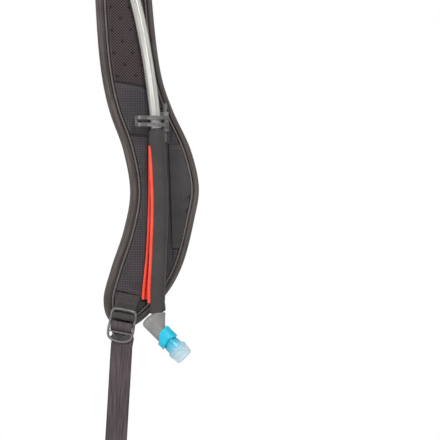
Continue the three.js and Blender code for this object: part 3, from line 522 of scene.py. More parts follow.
def slab(name, front, back, uv):
    """A closed sheet between two grids of points."""
    rows, cols = front.shape[:2]
    count = rows * cols
    faces = grid_faces(rows, cols) + grid_faces(rows, cols, count, flip=True)
    rim = [(0, c) for c in range(cols)] + [(r, cols - 1) for r in range(1, rows)]
    rim += [(rows - 1, c) for c in range(cols - 2, -1, -1)] + [(r, 0) for r in range(rows - 2, 0, -1)]
    ids = [r * cols + c for r, c in rim]
    for a, b in zip(ids, ids[1:] + ids[:1]):
        faces.append([b, a, a + count, b + count])
    verts = np.vstack([front.reshape(-1, 3), back.reshape(-1, 3)])
    coords = uv.reshape(-1, 2)
    return mesh_object(name, verts, faces, np.vstack([coords, coords]))


def skin(name, rings, uv=None, capped=True, looped=False, sharp=38):
    """A tube of rings of points, each ring closed: capped at its ends, or looped into a ring itself."""
    count, around = rings.shape[:2]
    if looped:
        rings = np.concatenate([rings, rings[:1]])
        count += 1
    faces = grid_faces(count, around, around=True)
    if capped and not looped:
        faces.append(list(range(around)))
        faces.append(list(range((count - 1) * around, count * around))[::-1])
    if uv is None:
        size = np.linalg.norm(np.diff(rings[count // 2], axis=0), axis=1).mean()
        uv = uv_grid(np.arange(around) * size, run_along(rings.mean(1)))
    return mesh_object(name, rings.reshape(-1, 3), faces, uv.reshape(-1, 2), sharp)


def axes_along(line):
    """A steady side and up direction for every point of a line."""
    ahead = unit(np.gradient(line, axis=0))
    side = unit(np.cross(ahead, FORWARD))
    return ahead, side, np.cross(side, ahead)


def rod(name, line, radius, around=24, bore=None, uv=None):
    """A round cord or tube along a line; with a bore it is hollow and open at both ends."""
    ahead, side, up = axes_along(line)
    radius = np.broadcast_to(radius, (len(line),))
    turn = full_turn(around)
    spokes = side[:, None] * np.cos(turn)[:, None] + up[:, None] * np.sin(turn)[:, None]
    outer = line[:, None] + spokes * radius[:, None, None]
    if bore is None:
        return skin(name, outer, uv)
    inner = line[:, None] + spokes * bore
    return skin(name, np.concatenate([outer, inner[::-1]]), looped=True)


def placed(origin, axis):
    """The frame whose Y runs along an axis and whose Z is turned to the front."""
    y = Vector(axis).normalized()
    z = Vector(FORWARD)
    z = (z - y * z.dot(y)).normalized()
    matrix = Matrix((y.cross(z), y, z)).transposed().to_4x4()
    matrix.translation = Vector(origin)
    return matrix


def moved(points, matrix):
    return np.asarray(points, float) @ np.array(matrix.to_3x3()).T + np.array(matrix.translation)


def turned(name, profile, matrix, around=72, sharp=38, shape=None):
    """A turned form: a closed profile of [radius, height] spun about its frame's Y axis."""
    profile = np.asarray(profile, float)
    turn = full_turn(around)
    rings = np.stack([profile[:, None, 0] * np.sin(turn), np.repeat(profile[:, None, 1], around, 1),
                      profile[:, None, 0] * np.cos(turn)], -1)
    if shape is not None:
        rings = shape(rings)
    hollow = profile[0, 0] > 0 and np.allclose(profile[0], profile[-1])
    if hollow:
        rings = rings[:-1]
    return skin(name, moved(rings, matrix), looped=hollow, capped=not hollow, sharp=sharp)


def rounded(profile, radius, steps=4):
    """A profile with its corners rounded by arcs, its first and last points kept."""
    p = [np.asarray(q, float) for q in profile]
    out = [p[0]]
    for before, corner, after in zip(p, p[1:], p[2:]):
        a, b = before - corner, after - corner
        reach = min(radius, 0.45 * np.linalg.norm(a), 0.45 * np.linalg.norm(b))
        start, end = corner + unit(a) * reach, corner + unit(b) * reach
        for t in np.linspace(0, 1, steps):
            out.append((1 - t)**2 * start + 2 * t * (1 - t) * corner + t * t * end)
    out.append(p[-1])
    return np.array(out)


def finish(piece, slot, body, *nodes):
    """Gives a piece its material and its place in the frame, and hides the CAD nodes that it stands for."""
    piece.data.materials.clear()
    piece.data.materials.append(MATERIALS[slot])
    if isinstance(body, str):
        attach(piece, body)
    else:
        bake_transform(piece)
    if nodes:
        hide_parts(*nodes)
    return piece


def refined(node, bevel, slot, body, segments=3, angle=28):
    """A CAD node's shape with its corners rounded."""
    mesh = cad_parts[node].data.copy()
    piece = bpy.data.objects.new(node + "_moulded", mesh)
    bpy.context.collection.objects.link(piece)
    piece.matrix_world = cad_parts[node].matrix_world
    work = bmesh.new()
    work.from_mesh(mesh)
    bmesh.ops.remove_doubles(work, verts=work.verts, dist=1e-5)
    bmesh.ops.dissolve_limit(work, angle_limit=math.radians(3), verts=work.verts, edges=work.edges)
    sharp = [e for e in work.edges if len(e.link_faces) == 2 and e.calc_face_angle(0) > math.radians(angle)]
    bmesh.ops.bevel(work, geom=sharp, offset=bevel * MM, segments=segments, profile=0.5, affect="EDGES",
                    clamp_overlap=True)
    bmesh.ops.recalc_face_normals(work, faces=work.faces)
    work.to_mesh(mesh)
    work.free()
    mesh.shade_smooth()
    mesh.set_sharp_from_angle(angle=math.radians(50))
    return finish(piece, slot, body, node)


STITCH_RINGS = 7
STITCH_SIDES = 6
STITCH_WIDTH = 0.32
STITCH_FILL = 0.72


def one_stitch(pitch):
    """A short thread along X with rounded ends, as rings of points."""
    along = np.repeat(np.linspace(-1, 1, STITCH_RINGS)[:, None], STITCH_SIDES, 1)
    swell = STITCH_WIDTH * np.sqrt(np.clip(1 - along**4, 0.04, 1))
    turn = full_turn(STITCH_SIDES)
    return np.stack([along * pitch * STITCH_FILL / 2, swell * np.cos(turn), 0.8 * swell * np.sin(turn)], -1)


def stitches(name, line, pitch, body, up):
    """A row of thread stitches along a line, lying flat on a face that looks up."""
    length = np.linalg.norm(np.diff(line, axis=0), axis=1).sum()
    count = max(int(length / pitch), 2)
    centres = resample(line, count)
    ahead, _, _ = axes_along(centres)
    lift = np.broadcast_to(up, ahead.shape)
    side = unit(np.cross(ahead, lift))
    local = one_stitch(pitch)
    size = STITCH_RINGS * STITCH_SIDES
    caps = [list(range(STITCH_SIDES)), list(range(size - STITCH_SIDES, size))[::-1]]
    ring = grid_faces(STITCH_RINGS, STITCH_SIDES, around=True) + caps
    bases = np.stack([ahead, side, lift], 1)
    verts = np.vstack([local.reshape(-1, 3) @ basis + centre for basis, centre in zip(bases, centres)])
    faces = [[size * i + v for v in face] for i in range(count) for face in ring]
    uv = np.tile(local[..., [1, 0]].reshape(-1, 2), (count, 1))
    return finish(mesh_object("stitching_" + name, verts, faces, uv), "thread", body)


# ---------------------------------------------------------------- the pad's surface

# Side view of the pad's middle surface as (z, y), and its front outline as (x, z).
SIDE_VIEW = [
    (0, 0), (-25, -25), (-55, -45), (-90, -59), (-130, -68),
    (-180, -74), (-240, -77), (-300, -77), (-360, -75), (-417, -71),
]
OUTLINE = [
    (-25, -16), (-21.7, -115), (-16, -180), (-8.5, -216), (4.5, -253), (10.9, -292), (4.9, -327),
    (-7, -363), (-13.8, -391), (-10, -408), (2, -417), (17.2, -413.3), (44.8, -385), (58.6, -360),
    (70.2, -316), (74.3, -288), (66.8, -253), (50.1, -216), (40, -186), (30.8, -115), (26, -16),
]
PAD_TOP = -16
# Half the foam's thickness, the outer cloth's height above the middle surface, and its crown.
FOAM_HALF = 4
FRONT = 5.3
CROWN = 1.5
BACK_BAND = 7
THINNED = 0.45
PIPING_RADIUS = 0.78
# How far in from the outline the piping lies, on the inner and on the outer side of the strap.
PIPING_INSETS = (8.8, 6.3)
PANEL_GAP = 0.75
SEAM_DIP = 1.1
SEAM_DEPTH = 1.5
SEAM_TURN = 1.7
EDGE_AROUND = 40
PORE_ACROSS = 17.5
PORE_DOWN = 10.6
PORE_RADIUS = 1.7
PORE_DEPTH = 2.2
QUILT_PITCH = 24
POCKET_MOUTH = -248.4
POCKET_FOOT = -343
# x of the pocket's sewn inner side at its mouth and at its foot.
POCKET_SIDE = (46.6, 50)
# x and z of the places where the pocket is tacked down at the piping.
NOTCHES = [(63.6, -297), (62.6, -308.5)]
# The x that the seams' stitching stops at, because the tube lies beside it.
TUBE_SIDE = 26
CORD_RADIUS = 1.5
TUBE_RADIUS = 4.8
TUBE_BORE = 3.2
# Each seam's z at its left and at its right end.
MESH_SEAM = (-190, -197.2)
RIPSTOP_SEAM = (-238.7, -243.2)
TIP_SEAM = (-382.6, -392.2)

side_line = spline(SIDE_VIEW, 600)[::-1]
side_slope = np.gradient(side_line[:, 1], side_line[:, 0])
side_run = run_along(side_line)
edge_line = spline(OUTLINE, 1600)
edge_share = np.linspace(0, 1, len(edge_line))
edge_ahead = unit(np.gradient(edge_line, axis=0))


def run_at(z):
    """Distance along the pad's curve at a height."""
    return np.interp(z, side_line[:, 0], side_run)


def on_pad(x, height, z):
    """Points at x, z on the pad's middle surface, raised by height towards its outer face."""
    x, height, z = np.broadcast_arrays(np.asarray(x, float), height, z)
    lean = np.arctan(np.interp(z, side_line[:, 0], side_slope))
    y = np.interp(z, side_line[:, 0], side_line[:, 1])
    return np.stack([x, y - height * np.cos(lean), z + height * np.sin(lean)], -1)


def thin(z):
    """The pad's thickness as a share of its full one: it thins towards its sewn end."""
    return 1 - THINNED * smoothstep(z, PAD_TOP - 32, PAD_TOP)


def piping_inset(share):
    return lerp(*PIPING_INSETS, smoothstep(share, 0.42, 0.58))


def edge_point(share, inset):
    """x and z of a point set in from the outline, at a share of the way round it."""
    x, z, ax, az = (np.interp(share, edge_share, column) for column in (*edge_line.T, *edge_ahead.T))
    return x - az * inset, z + ax * inset


def sides_at(z, inset):
    """x of both sides of the outline at a height, set in by a distance that may change round it."""
    px, pz = edge_point(edge_share, inset(edge_share))
    low = int(np.argmin(pz))
    return np.interp(z, pz[:low + 1][::-1], px[:low + 1][::-1]), np.interp(z, pz[low:], px[low:])


def inside_piping(share):
    return piping_inset(share) + PANEL_GAP


def evenly(distance):
    """An inset that is the same all the way round the outline."""
    return lambda share: np.full_like(share, distance)


def lowest(inset):
    return edge_point(edge_share, inset(edge_share))[1].min()


def across_panels(x, z):
    """How far across the pad's panels a point lies, from 0 to 1."""
    left, right = sides_at(z, inside_piping)
    return np.clip((x - left) / (right - left), 0, 1)


def pad_grid(cols, rows, top, bottom, inset, ease=1.0):
    """Points from one seam to another: their share across, x, z and the distance to the nearer side."""
    a, c = np.meshgrid(np.linspace(0, 1, cols), np.linspace(0, 1, rows))
    z = lerp(lerp(*top, a), lerp(*bottom, a), 1 - (1 - c)**ease)
    left, right = sides_at(z, inset)
    x = lerp(left, right, a)
    return a, x, z, np.minimum(x - left, right - x)


def pad_sheet(name, x, z, front, back):
    """A sheet on the pad between two heights above its middle surface."""
    uv = np.stack([x, run_at(z)], -1)
    return slab(name, on_pad(x, front, z), on_pad(x, back, z), uv)


# Routes of the tube and of the red cord as (x, height above the pad's middle surface, z).
TUBE_ROUTE = np.array([
    (1.5, 12.5, -66), (3.2, 12, -75), (8, 11.4, -95), (15.1, 11, -115), (22.1, 11.2, -143.5),
    (27.2, 11.8, -171.1), (31.6, 13, -199.6), (33.8, 14.2, -218), (34.9, 14.7, -228), (35.7, 14.8, -235.2),
], float)
PIPING_ROUTE = np.array([
    (29.5, 7.2, -249), (29.2, 7.2, -299), (27.3, 7.2, -345), (23.8, 7.2, -380), (23, 7.2, -390),
], float)


def pressed(height, x, z, route, radius):
    """Cloth kept under a cord that lies on it."""
    below = z < route[0, 2]
    z_up = route[::-1, 2]
    across = (x - np.interp(z, z_up, route[::-1, 0])) / (radius + 1.3)
    under = np.interp(z, z_up, route[::-1, 1]) - 0.2 - radius * np.sqrt(np.clip(1 - across**2, 0, 1))
    inside = (np.abs(across) < 1) & below & (z > route[-1, 2] - 2)
    return np.where(inside, np.minimum(height, under), height)


def flat_seam(z, a):
    """1 at an ordinary seam, 0 where the middle seam lies flat beside the clip's rail."""
    beside_rail = smoothstep(a, 0.68, 0.8) * (np.abs(z - RIPSTOP_SEAM[1]) < 7)
    return 1 - beside_rail


def front_height(x, z, a):
    """Height of the outer cloth: crowned, drawn in at its seams and pressed by what lies on it."""
    height = FRONT + CROWN * (1 - np.abs(2 * a - 1)**2.6)
    for seam in (MESH_SEAM, RIPSTOP_SEAM, TIP_SEAM):
        height = height - SEAM_DIP * bell(z - lerp(*seam, a), SEAM_TURN) * flat_seam(z, a)
    height = pressed(height, x, z, TUBE_ROUTE, TUBE_RADIUS)
    return pressed(height, x, z, PIPING_ROUTE, CORD_RADIUS)


def panel(name, slot, node, top, bottom, cols, rows, relief, ease=1.0):
    """One piece of the outer cloth, with its edges turned in at the seams round it."""
    a, x, z, across = pad_grid(cols, rows, top, bottom, inside_piping, ease)
    along = np.minimum(lerp(*top, a) - z, z - lerp(*bottom, a))
    height = front_height(x, z, a) + relief(x, z, across)
    height = height - SEAM_DEPTH * (1 - smoothstep(across, 0, SEAM_TURN))
    height = height - SEAM_DEPTH * (1 - smoothstep(along, 0, SEAM_TURN)) * flat_seam(z, a)
    height = height * thin(z)
    piece = pad_sheet(name, x, z, height, np.minimum(height - 0.5, 4.2 * thin(z)))
    finish(piece, slot, "strap", node)


def puckers(x, z, across, depth):
    """Short gathers that run in from a side seam."""
    return depth * ripple(4.5, x * 0.35, z) * np.exp(-across / 7)


def dimples(x, z, across):
    """The spacer mesh: its knit, and staggered pores pressed through it."""
    left, _ = sides_at(z, inside_piping)
    row = np.round((z - PAD_TOP) / PORE_DOWN)
    away = x - left - 4.5 - (row % 2) * PORE_ACROSS / 2
    dx = away - np.round(away / PORE_ACROSS) * PORE_ACROSS
    dz = z - PAD_TOP - row * PORE_DOWN
    pore = np.exp(-((dx**2 + dz**2) / PORE_RADIUS**2)**1.5)
    lip = bell(np.hypot(dx, dz) - 1.6, 0.6)
    knit_ways = [(x + sign * run_at(z)) / NET_PITCH * math.sqrt(0.5) for sign in (-1, 1)]
    cell = np.hypot(*(way - np.round(way) for way in knit_ways))
    knit = -0.4 * (1 - smoothstep(cell, 0.15, 0.5))
    return (0.18 * lip - PORE_DEPTH * pore) * (across > 2.2) + 0.25 * ripple(16, x, z) + knit


def rail_fold(x, z):
    """The crease that runs down beside the clip's rail."""
    middle = np.interp(z, [-247.1, -234.1, -220.7], [47.6, 49.4, 46.2])
    length = smoothstep(z, -248, -244) * (1 - smoothstep(z, -224, -218))
    return -1.6 * bell(x - middle, 0.75) * length


def upper_relief(x, z, across):
    return puckers(x, z, across, 0.45) + 0.22 * ripple(9, x * 0.6, z * 1.4) + rail_fold(x, z)


def pocket_side(z):
    return lerp(*POCKET_SIDE, (z - POCKET_MOUTH) / (POCKET_FOOT - POCKET_MOUTH))


def lower_relief(x, z, across):
    """Gathers, the notches that the pocket is tacked at, and the grooves beside and below the pocket."""
    height = puckers(x, z, across, 0.55) + 0.3 * ripple(11, x * 0.7, z * 1.2, seed=3.0) + rail_fold(x, z)
    for nx, nz in NOTCHES:
        height = height - 1.6 * bell(x - nx, 2) * bell(z - nz, 2.4)
    side = pocket_side(z)
    beside = bell(x - side + 0.5, 0.8) * smoothstep(z, POCKET_FOOT - 17, POCKET_FOOT - 14)
    below = bell(z - POCKET_FOOT + 0.9, 0.9) * smoothstep(x, side - 1, side)
    return height - 1.5 * np.maximum(beside * (z < POCKET_MOUTH + 1), below)


def tip_relief(x, z, across):
    return puckers(x, z, across, 0.4)


def make_panels():
    top = (PAD_TOP, PAD_TOP)
    low = lowest(inside_piping) + 0.3
    panel("mesh_cloth", "spacer_mesh", "mesh_panel", top, MESH_SEAM, 110, 430, dimples)
    panel("ripstop_cloth_upper", "ripstop", "ripstop_panel_upper", MESH_SEAM, RIPSTOP_SEAM, 110, 90,
          upper_relief)
    panel("ripstop_cloth_lower", "ripstop", "ripstop_panel_lower", RIPSTOP_SEAM, TIP_SEAM, 120, 230,
          lower_relief)
    panel("tip_cloth", "ripstop", "tip_panel", TIP_SEAM, (low, low), 70, 40, tip_relief, 1.5)


def make_foam():
    """The foam itself: a crowned closed pad, thicker in the middle than at its sides."""
    inset = evenly(2.6)
    low = lowest(inset) + 0.4
    a, x, z, _ = pad_grid(24, 150, (PAD_TOP, PAD_TOP), (low, low), inset, 1.6)
    half = (FOAM_HALF - 1.1) * (1 - 0.25 * np.abs(2 * a - 1)**4) * thin(z)
    pad = pad_sheet("foam_pad", x, z, half, -half)
    finish(pad, "foam", "strap", "foam_core")


def make_lining():
    """The back's knitted lining, quilted in diamonds."""
    inset = evenly(BACK_BAND + 0.3)
    low = lowest(inset) + 0.3
    a, x, z, across = pad_grid(60, 280, (PAD_TOP, PAD_TOP), (low, low), inset, 1.5)
    height = -FRONT - 1.1 * (1 - np.abs(2 * a - 1)**2.4) - 0.25 * ripple(13, x, z, seed=5.0)
    height = height + 0.9 * (1 - smoothstep(across, 0, 1.3))
    from_middle, run = x - sum(sides_at(z, inset)) / 2, run_at(z)
    to_lines = [np.abs((run + sign * from_middle) % QUILT_PITCH - QUILT_PITCH / 2) for sign in (1, -1)]
    height = (height + 0.8 * bell(np.minimum(*to_lines), 0.9) * (across > 3)) * thin(z)
    piece = pad_sheet("lining_cloth", x, z, height, -FOAM_HALF * thin(z))
    finish(piece, "air_mesh", "strap", "back_lining")


def under_slider(x, z):
    """The height the edge may have where the clip's slider passes over it at the top of its travel."""
    return 6.1 + 3 * smoothstep(x, 46.9, 48.4) + 3 * smoothstep(np.abs(z + 214), 8, 13)


def edge_profile(inset):
    """Insets and heights round the soft band: over the pad's edge, along its back and up inside it."""
    band = inset - 0.85
    front = [(1.0, 3.4), (0.93, 3.6), (0.8, 5.6), (0.62, 6.9), (0.42, 7.1), (0.22, 6.3), (0.06, 4.6),
             (0, 2), (0, -2.6)]
    back = [(0.9, -5.4), (2.8, -6.4), (5.2, -6.3), (6.8, -5.4), (6.9, -4.5), (3, -4.2), (1.5, -3), (1.5, 3)]
    points = [(band * share, height) for share, height in front]
    points += [(distance, height) for distance, height in back] + [(band * 0.4, 4.3)]
    return spline(points, EDGE_AROUND, closed=True)


def make_edge_band(share, run, inset):
    """The soft band wrapped round the pad's edge, with gathers and folds."""
    rings = np.stack([edge_profile(i) for i in inset])
    distance, heights = rings[..., 0], rings[..., 1]
    along = run[:, None]
    gathers = 0.2 * ripple(5.5, along, distance * 3, heights)
    waves = 0.3 * ripple(21, along, distance, heights, seed=2.0)
    folds = 0.4 * ripple(1.5, along / 26, distance, heights, seed=9.0)
    heights = heights + np.sign(heights) * smoothstep(np.abs(heights), 3.5, 5.0) * (gathers + waves + folds)
    x, z = edge_point(share[:, None], distance)
    heights = np.minimum(heights, under_slider(x, z))
    around = np.cumsum(np.linalg.norm(np.diff(rings, axis=1, prepend=rings[:, :1]), axis=2), axis=1)
    uv = np.stack([around, np.repeat(along, EDGE_AROUND, 1)], -1)
    finish(skin("edge_band", on_pad(x, heights * thin(z), z), uv), "edge_cloth", "strap", "edge_binding")


def make_edge():
    """The band round the pad's edge, and the piping that it is sewn to."""
    share = np.linspace(0, 1, 460)
    run = run_along(edge_line)[-1] * share
    inset = piping_inset(share)
    make_edge_band(share, run, inset)
    x, z = edge_point(share, inset)
    line = on_pad(x, (FRONT + 0.3) * thin(z), z)
    cord = rod("piping_cord", line, PIPING_RADIUS + 0.04 * np.sin(run * 1.9), 14)
    finish(cord, "pale_piping", "strap", "edge_piping")


def stitched_on(name, x, z, lift, pitch):
    """Stitches along a line on the outer cloth, raised a little above it."""
    height = front_height(x, z, across_panels(x, z)) + lift
    stitches(name, on_pad(x, height * thin(z), z), pitch, "strap", FORWARD)


def make_seam_stitching():
    """Rows of stitches beside the piping, round the back and beside each cross seam."""
    for name, shares in (("inner", (0.015, 0.455)), ("outer", (0.56, 0.985))):
        share = np.linspace(*shares, 500)
        stitched_on(name, *edge_point(share, inside_piping(share) + 2), 0, 2.6)
    back = np.linspace(0.01, 0.99, 900)
    x, z = edge_point(back, evenly(4.9)(back))
    stitches("back", on_pad(x, -6.25 * thin(z), z), 3.0, "strap", BACKWARD)
    a = np.linspace(0.05, 0.95, 90)
    seams = (("mesh", MESH_SEAM, -1, TUBE_SIDE), ("ripstop", RIPSTOP_SEAM, -1, TUBE_SIDE),
             ("tip", TIP_SEAM, 1, math.inf))
    for name, seam, way, end in seams:
        for row, drop in enumerate((2.3, 4.4)):
            z = lerp(*seam, a) + way * drop
            x = lerp(*sides_at(z, inside_piping), a)
            stitched_on(f"{name}_{row}", x[x < end], z[x < end], 0, 2.3)


def pocket_grid(a, c):
    """x and z on the pocket, from its sewn inner side to the piping and from its mouth to its foot."""
    z = lerp(POCKET_MOUTH, POCKET_FOOT, c)
    _, right = sides_at(z, inside_piping)
    pulled = sum(2.6 * bell(z - nz, 2.3) for _, nz in NOTCHES)
    return lerp(pocket_side(z), right - 0.2 - pulled, a), z


def mouth_bow(a):
    return 0.45 * np.sqrt(np.clip(4 * a * (1 - a), 0, 1))


def make_pocket():
    """A stretch sheet sewn down at its sides and foot, standing off the pad a little at its mouth."""
    a, c = np.meshgrid(np.linspace(0, 1, 44), np.linspace(0, 1, 140))
    x, z = pocket_grid(a, c)
    folds = 0.22 * ripple(6.0, x * 0.5 + z * 0.25, z * 0.8, seed=7.0) * (0.4 + a)
    lips = sum(bell(x - nx + 3.2, 2.2) * bell(z - nz, 3.2) for nx, nz in NOTCHES)
    hem = 0.4 * (1 - smoothstep(POCKET_MOUTH - z, 4.4, 5.2))
    edge = 0.5 * (1 - smoothstep(np.minimum(x - x[:, :1], x[:, -1:] - x), 0, 1.0))
    base = front_height(x, z, across_panels(x, z))
    height = base + 0.72 + mouth_bow(a) * (1 - c**2) + folds + lips + hem - edge
    piece = pad_sheet("pocket_sheet", x, z, height, height - 0.6)
    finish(piece, "stretch_cloth", "strap", "stretch_pocket")


def make_pocket_stitching():
    across = np.linspace(0.06, 0.94, 60)
    stitched_on("pocket_mouth", *pocket_grid(across, 0.036), 1.2 + mouth_bow(across), 1.9)
    stitched_on("pocket_foot", *pocket_grid(across, 0.975), 0.8, 1.9)
    stitched_on("pocket_side", *pocket_grid(0.05, np.linspace(0.03, 0.97, 120)), 0.95, 2.2)


def make_tab():
    """The sewn end: a doubled tape that closes over the pad's top."""
    front = [(0, 1.6), (-9, 1.7), (-14.5, 3.6), (-17.5, 4.3), (-25.5, 5.2), (-25.9, 4.6), (-25.5, 4.1),
             (-18, 3.3), (-15.5, 2.6), (-15.2, 0)]
    back = [(-15.5, -2.6), (-18, -3.5), (-25.5, -4.6), (-25.9, -5.2), (-25.5, -5.8), (-17.5, -4.9),
            (-14.5, -3.9), (-9, -1.7), (0, -1.6)]
    loop = rounded([back[-1], *front, *back], 0.7)[:-1]
    widening = smoothstep(-loop[:, 0], 8, 16)
    u = np.linspace(-1, 1, 44)[:, None]
    x = u * lerp(23, 25.6, widening) + 0.5 * widening
    squeeze = 1 - 0.35 * np.clip((np.abs(u) - 0.95) / 0.05, 0, 1)**2
    rings = on_pad(x, loop[:, 1] * squeeze, loop[:, 0])
    uv = np.stack([np.broadcast_to(1.0 + np.arange(len(loop)), x.shape), x], -1)
    finish(skin("tab_tape", rings, uv), "webbing", "strap", "top_tab")
    across = np.linspace(-23.5, 24.5, 80)
    for row, z in enumerate((-20, -23.5)):
        height = lerp(4.3, 5.2, (-17.5 - z) / 8) + 0.1
        stitches(f"tab_{row}", on_pad(across, height, z), 2.4, "strap", (0, -1, 0.7))
    for row, z in enumerate((-4, -9)):
        stitches(f"tab_end_{row}", on_pad(across * 0.9, 1.7, z), 2.4, "strap", (0, -1, 0.9))


make_foam()
make_panels()
make_lining()
make_edge()
make_seam_stitching()
make_pocket()
make_pocket_stitching()
make_tab()

# ---------------------------------------------------------------- tubes and pipings on the pad

tube_points = on_pad(*TUBE_ROUTE.T)


def make_tube():
    line = spline(np.vstack([tube_points, on_pad(35.9, 14.8, -238.6)]), 220)
    finish(rod("clear_hose", line, TUBE_RADIUS, 40, TUBE_BORE), "clear_tube", "strap", "drink_tube")


def make_strap_piping():
    """The red cord, and the red tape that it is sewn on with."""
    line = spline(on_pad(*PIPING_ROUTE.T) + (0, -0.35, 0), 160)
    cord = rod("red_strap_piping", line, CORD_RADIUS + 0.05, 18)
    finish(cord, "red_piping", "strap", "strap_piping")
    side = spline(on_pad(PIPING_ROUTE[:, 0], 6.2, PIPING_ROUTE[:, 2]), 160)
    across = np.linspace(-0.6, 6.2, 10)
    front = side[:, None] + np.stack([across, 0 * across, 0 * across], -1)[None]
    front[..., 1] -= 3.2 * smoothstep(across, 0.6, 4.2)
    uv = np.stack([np.broadcast_to(across, front.shape[:2]), front[..., 2]], -1)
    finish(slab("red_piping_tape", front, front + (0, 0.5, 0), uv), "red_tape", "strap")


KEEPER_SHARE = 0.13
KEEPER_REACH = 5


def keeper_path():
    """The elastic's way over the tube: a foot, an arch and a foot, as [across, height] with its normals."""
    rise = TUBE_RADIUS + 1.05
    low = -TUBE_RADIUS - 0.35
    turn = np.linspace(0.03 * math.pi, 0.97 * math.pi, 11)
    arch = [(-rise * math.cos(t), rise * math.sin(t)) for t in turn]
    foot = [(-13, low), (-10, low), (-8, low + 0.25), (-6.75, low + 1.7)]
    path = spline(foot + arch + [(-x, h) for x, h in foot[::-1]], 120)
    ahead = unit(np.gradient(path, axis=0))
    return path, np.stack([-ahead[:, 1], ahead[:, 0]], -1), low


def make_keeper():
    """Elastic loop over the tube, sewn down on both sides."""
    line = spline(tube_points, 400)
    at = int(KEEPER_SHARE * (len(line) - 1))
    ahead, side, up = (d[at] for d in axes_along(line))
    centre = line[at]
    path, normal, low = keeper_path()
    u = np.linspace(-1, 1, 17)
    half = 0.5 * np.sqrt(np.clip(1 - ((np.abs(u) - 0.86) / 0.14).clip(0)**2, 0.05, 1))
    faces = []
    for sign in (1, -1):
        p = path[:, None] + sign * normal[:, None] * half[:, None]
        faces.append(centre + p[..., :1] * side + p[..., 1:] * up + (u * KEEPER_REACH)[:, None] * ahead)
    uv = uv_grid(u * KEEPER_REACH, np.arange(len(path)) * 0.3)
    finish(slab("keeper_loop", *faces, uv), "webbing", "strap", "hose_keeper")
    for sign in (-1, 1):
        for row in (9.3, 11.6):
            middle = centre + sign * row * side + (low + 0.55) * up
            ends = np.array([middle - 4.2 * ahead, middle + 4.2 * ahead])
            stitches(f"keeper_{sign}_{row}", ends, 1.4, "strap", up)


def make_plug():
    """Quick-connect plug with a ribbed grip, pushed into the tube's upper end."""
    matrix = placed(tube_points[0], tube_points[0] - tube_points[1])
    grip = [(7 - 0.45 * (i % 2), 2.2 + 0.75 * i) for i in range(12)]
    barbs = [(1.8, -9), (2.7, -9), (2.9, -7), (2.7, -6.6), (2.9, -4.4), (2.7, -4), (2.7, 0.4), (6, 0.4),
             (7, 1.6)]
    nose = [(7, 11), (5.6, 12.4), (5.6, 16), (6.4, 17), (6.4, 20), (4, 21), (4, 27), (2.9, 27), (2.9, 29.6),
            (4, 29.6), (4, 35), (3.2, 36), (1.8, 36), (1.8, -9)]
    piece = turned("connector_plug", rounded(barbs + grip + nose, 0.3, 3), matrix, 64)
    finish(piece, "grey_plastic", "strap", "quick_connect_plug")
    ring = [(4 + 0.95 * math.cos(t), 28.3 + 0.95 * math.sin(t)) for t in np.linspace(0, TAU, 17)]
    finish(turned("connector_seal", ring, matrix, 64), "seal_rubber", "strap", "plug_seal")


make_tube()
make_strap_piping()
make_keeper()
make_plug()

# ---------------------------------------------------------------- hose in its sleeve

HOSE_HEIGHT = 14.8
CUFF_TOP = -242.9
HOSE_END = -400.8
CUFF_RADIUS = 7.2
SLEEVE_SLANT = 1.2
SLEEVE_AROUND = 56
SLEEVE_GIRTH = 7.5
TAPE_THICKNESS = 0.6
# The hose's line from the front as (x, z).
HOSE_LINE = [(35.9, CUFF_TOP), (36.8, -256), (39.1, -299), (38.3, -345), (36.9, -382), (37, HOSE_END)]
hose_samples = spline(HOSE_LINE, 400)[::-1]
# Where each length of the sleeve starts and ends, the bodies on either side of it and two heights on it;
# finish does not use the bodies or heights.
LENGTHS = [
    (CUFF_TOP, -266, "hose_cuff", "hose_1", CUFF_TOP, -252),
    (-266, -297, "hose_1", "hose_2", -271, -291),
    (-297, -329, "hose_2", "hose_3", -303, -323),
    (-329, -360, "hose_3", "hose_4", -335, -355),
    (-360, HOSE_END, "hose_4", "hose_5", -365, -385),
]


def hose_at(z):
    return on_pad(np.interp(z, hose_samples[:, 1], hose_samples[:, 0]), HOSE_HEIGHT, z)


hose_heights = np.linspace(CUFF_TOP, HOSE_END, 320)
hose_run = run_along(hose_at(hose_heights))


def run_down(z):
    """Distance along the hose from the cuff's centre to each height."""
    return np.interp(-z, -hose_heights, hose_run)


def hose_frames(z):
    """Centre, outer side and front direction of the hose at each height."""
    ahead = unit(hose_at(z - 0.5) - hose_at(z + 0.5))
    side = np.cross(ahead, FORWARD)
    side = unit(np.where(side[:, :1] < 0, -side, side))
    front = np.cross(side, ahead)
    front = np.where(front[:, 1:2] > 0, -front, front)
    return hose_at(z), side, front


def sleeve_section(run, turn):
    """Half width and depth of the sleeve at a run below the cuff: round at first, then flatter."""
    grown = smoothstep(run, 5, 20)[:, None]
    down = (run / hose_run[-1])[:, None]
    sizes = lerp(5.8, 7.4, down), lerp(7.5, 6.5, down), 6.4
    left, right, deep = (lerp(CUFF_RADIUS, size, grown) for size in sizes)
    cosine, sine = np.cos(turn)[None], np.sin(turn)[None]
    power = lerp(1.0, 0.86, grown)
    across = np.sign(cosine) * np.abs(cosine)**power * np.where(cosine < 0, left, right)
    return across, np.sign(sine) * np.abs(sine)**power * deep


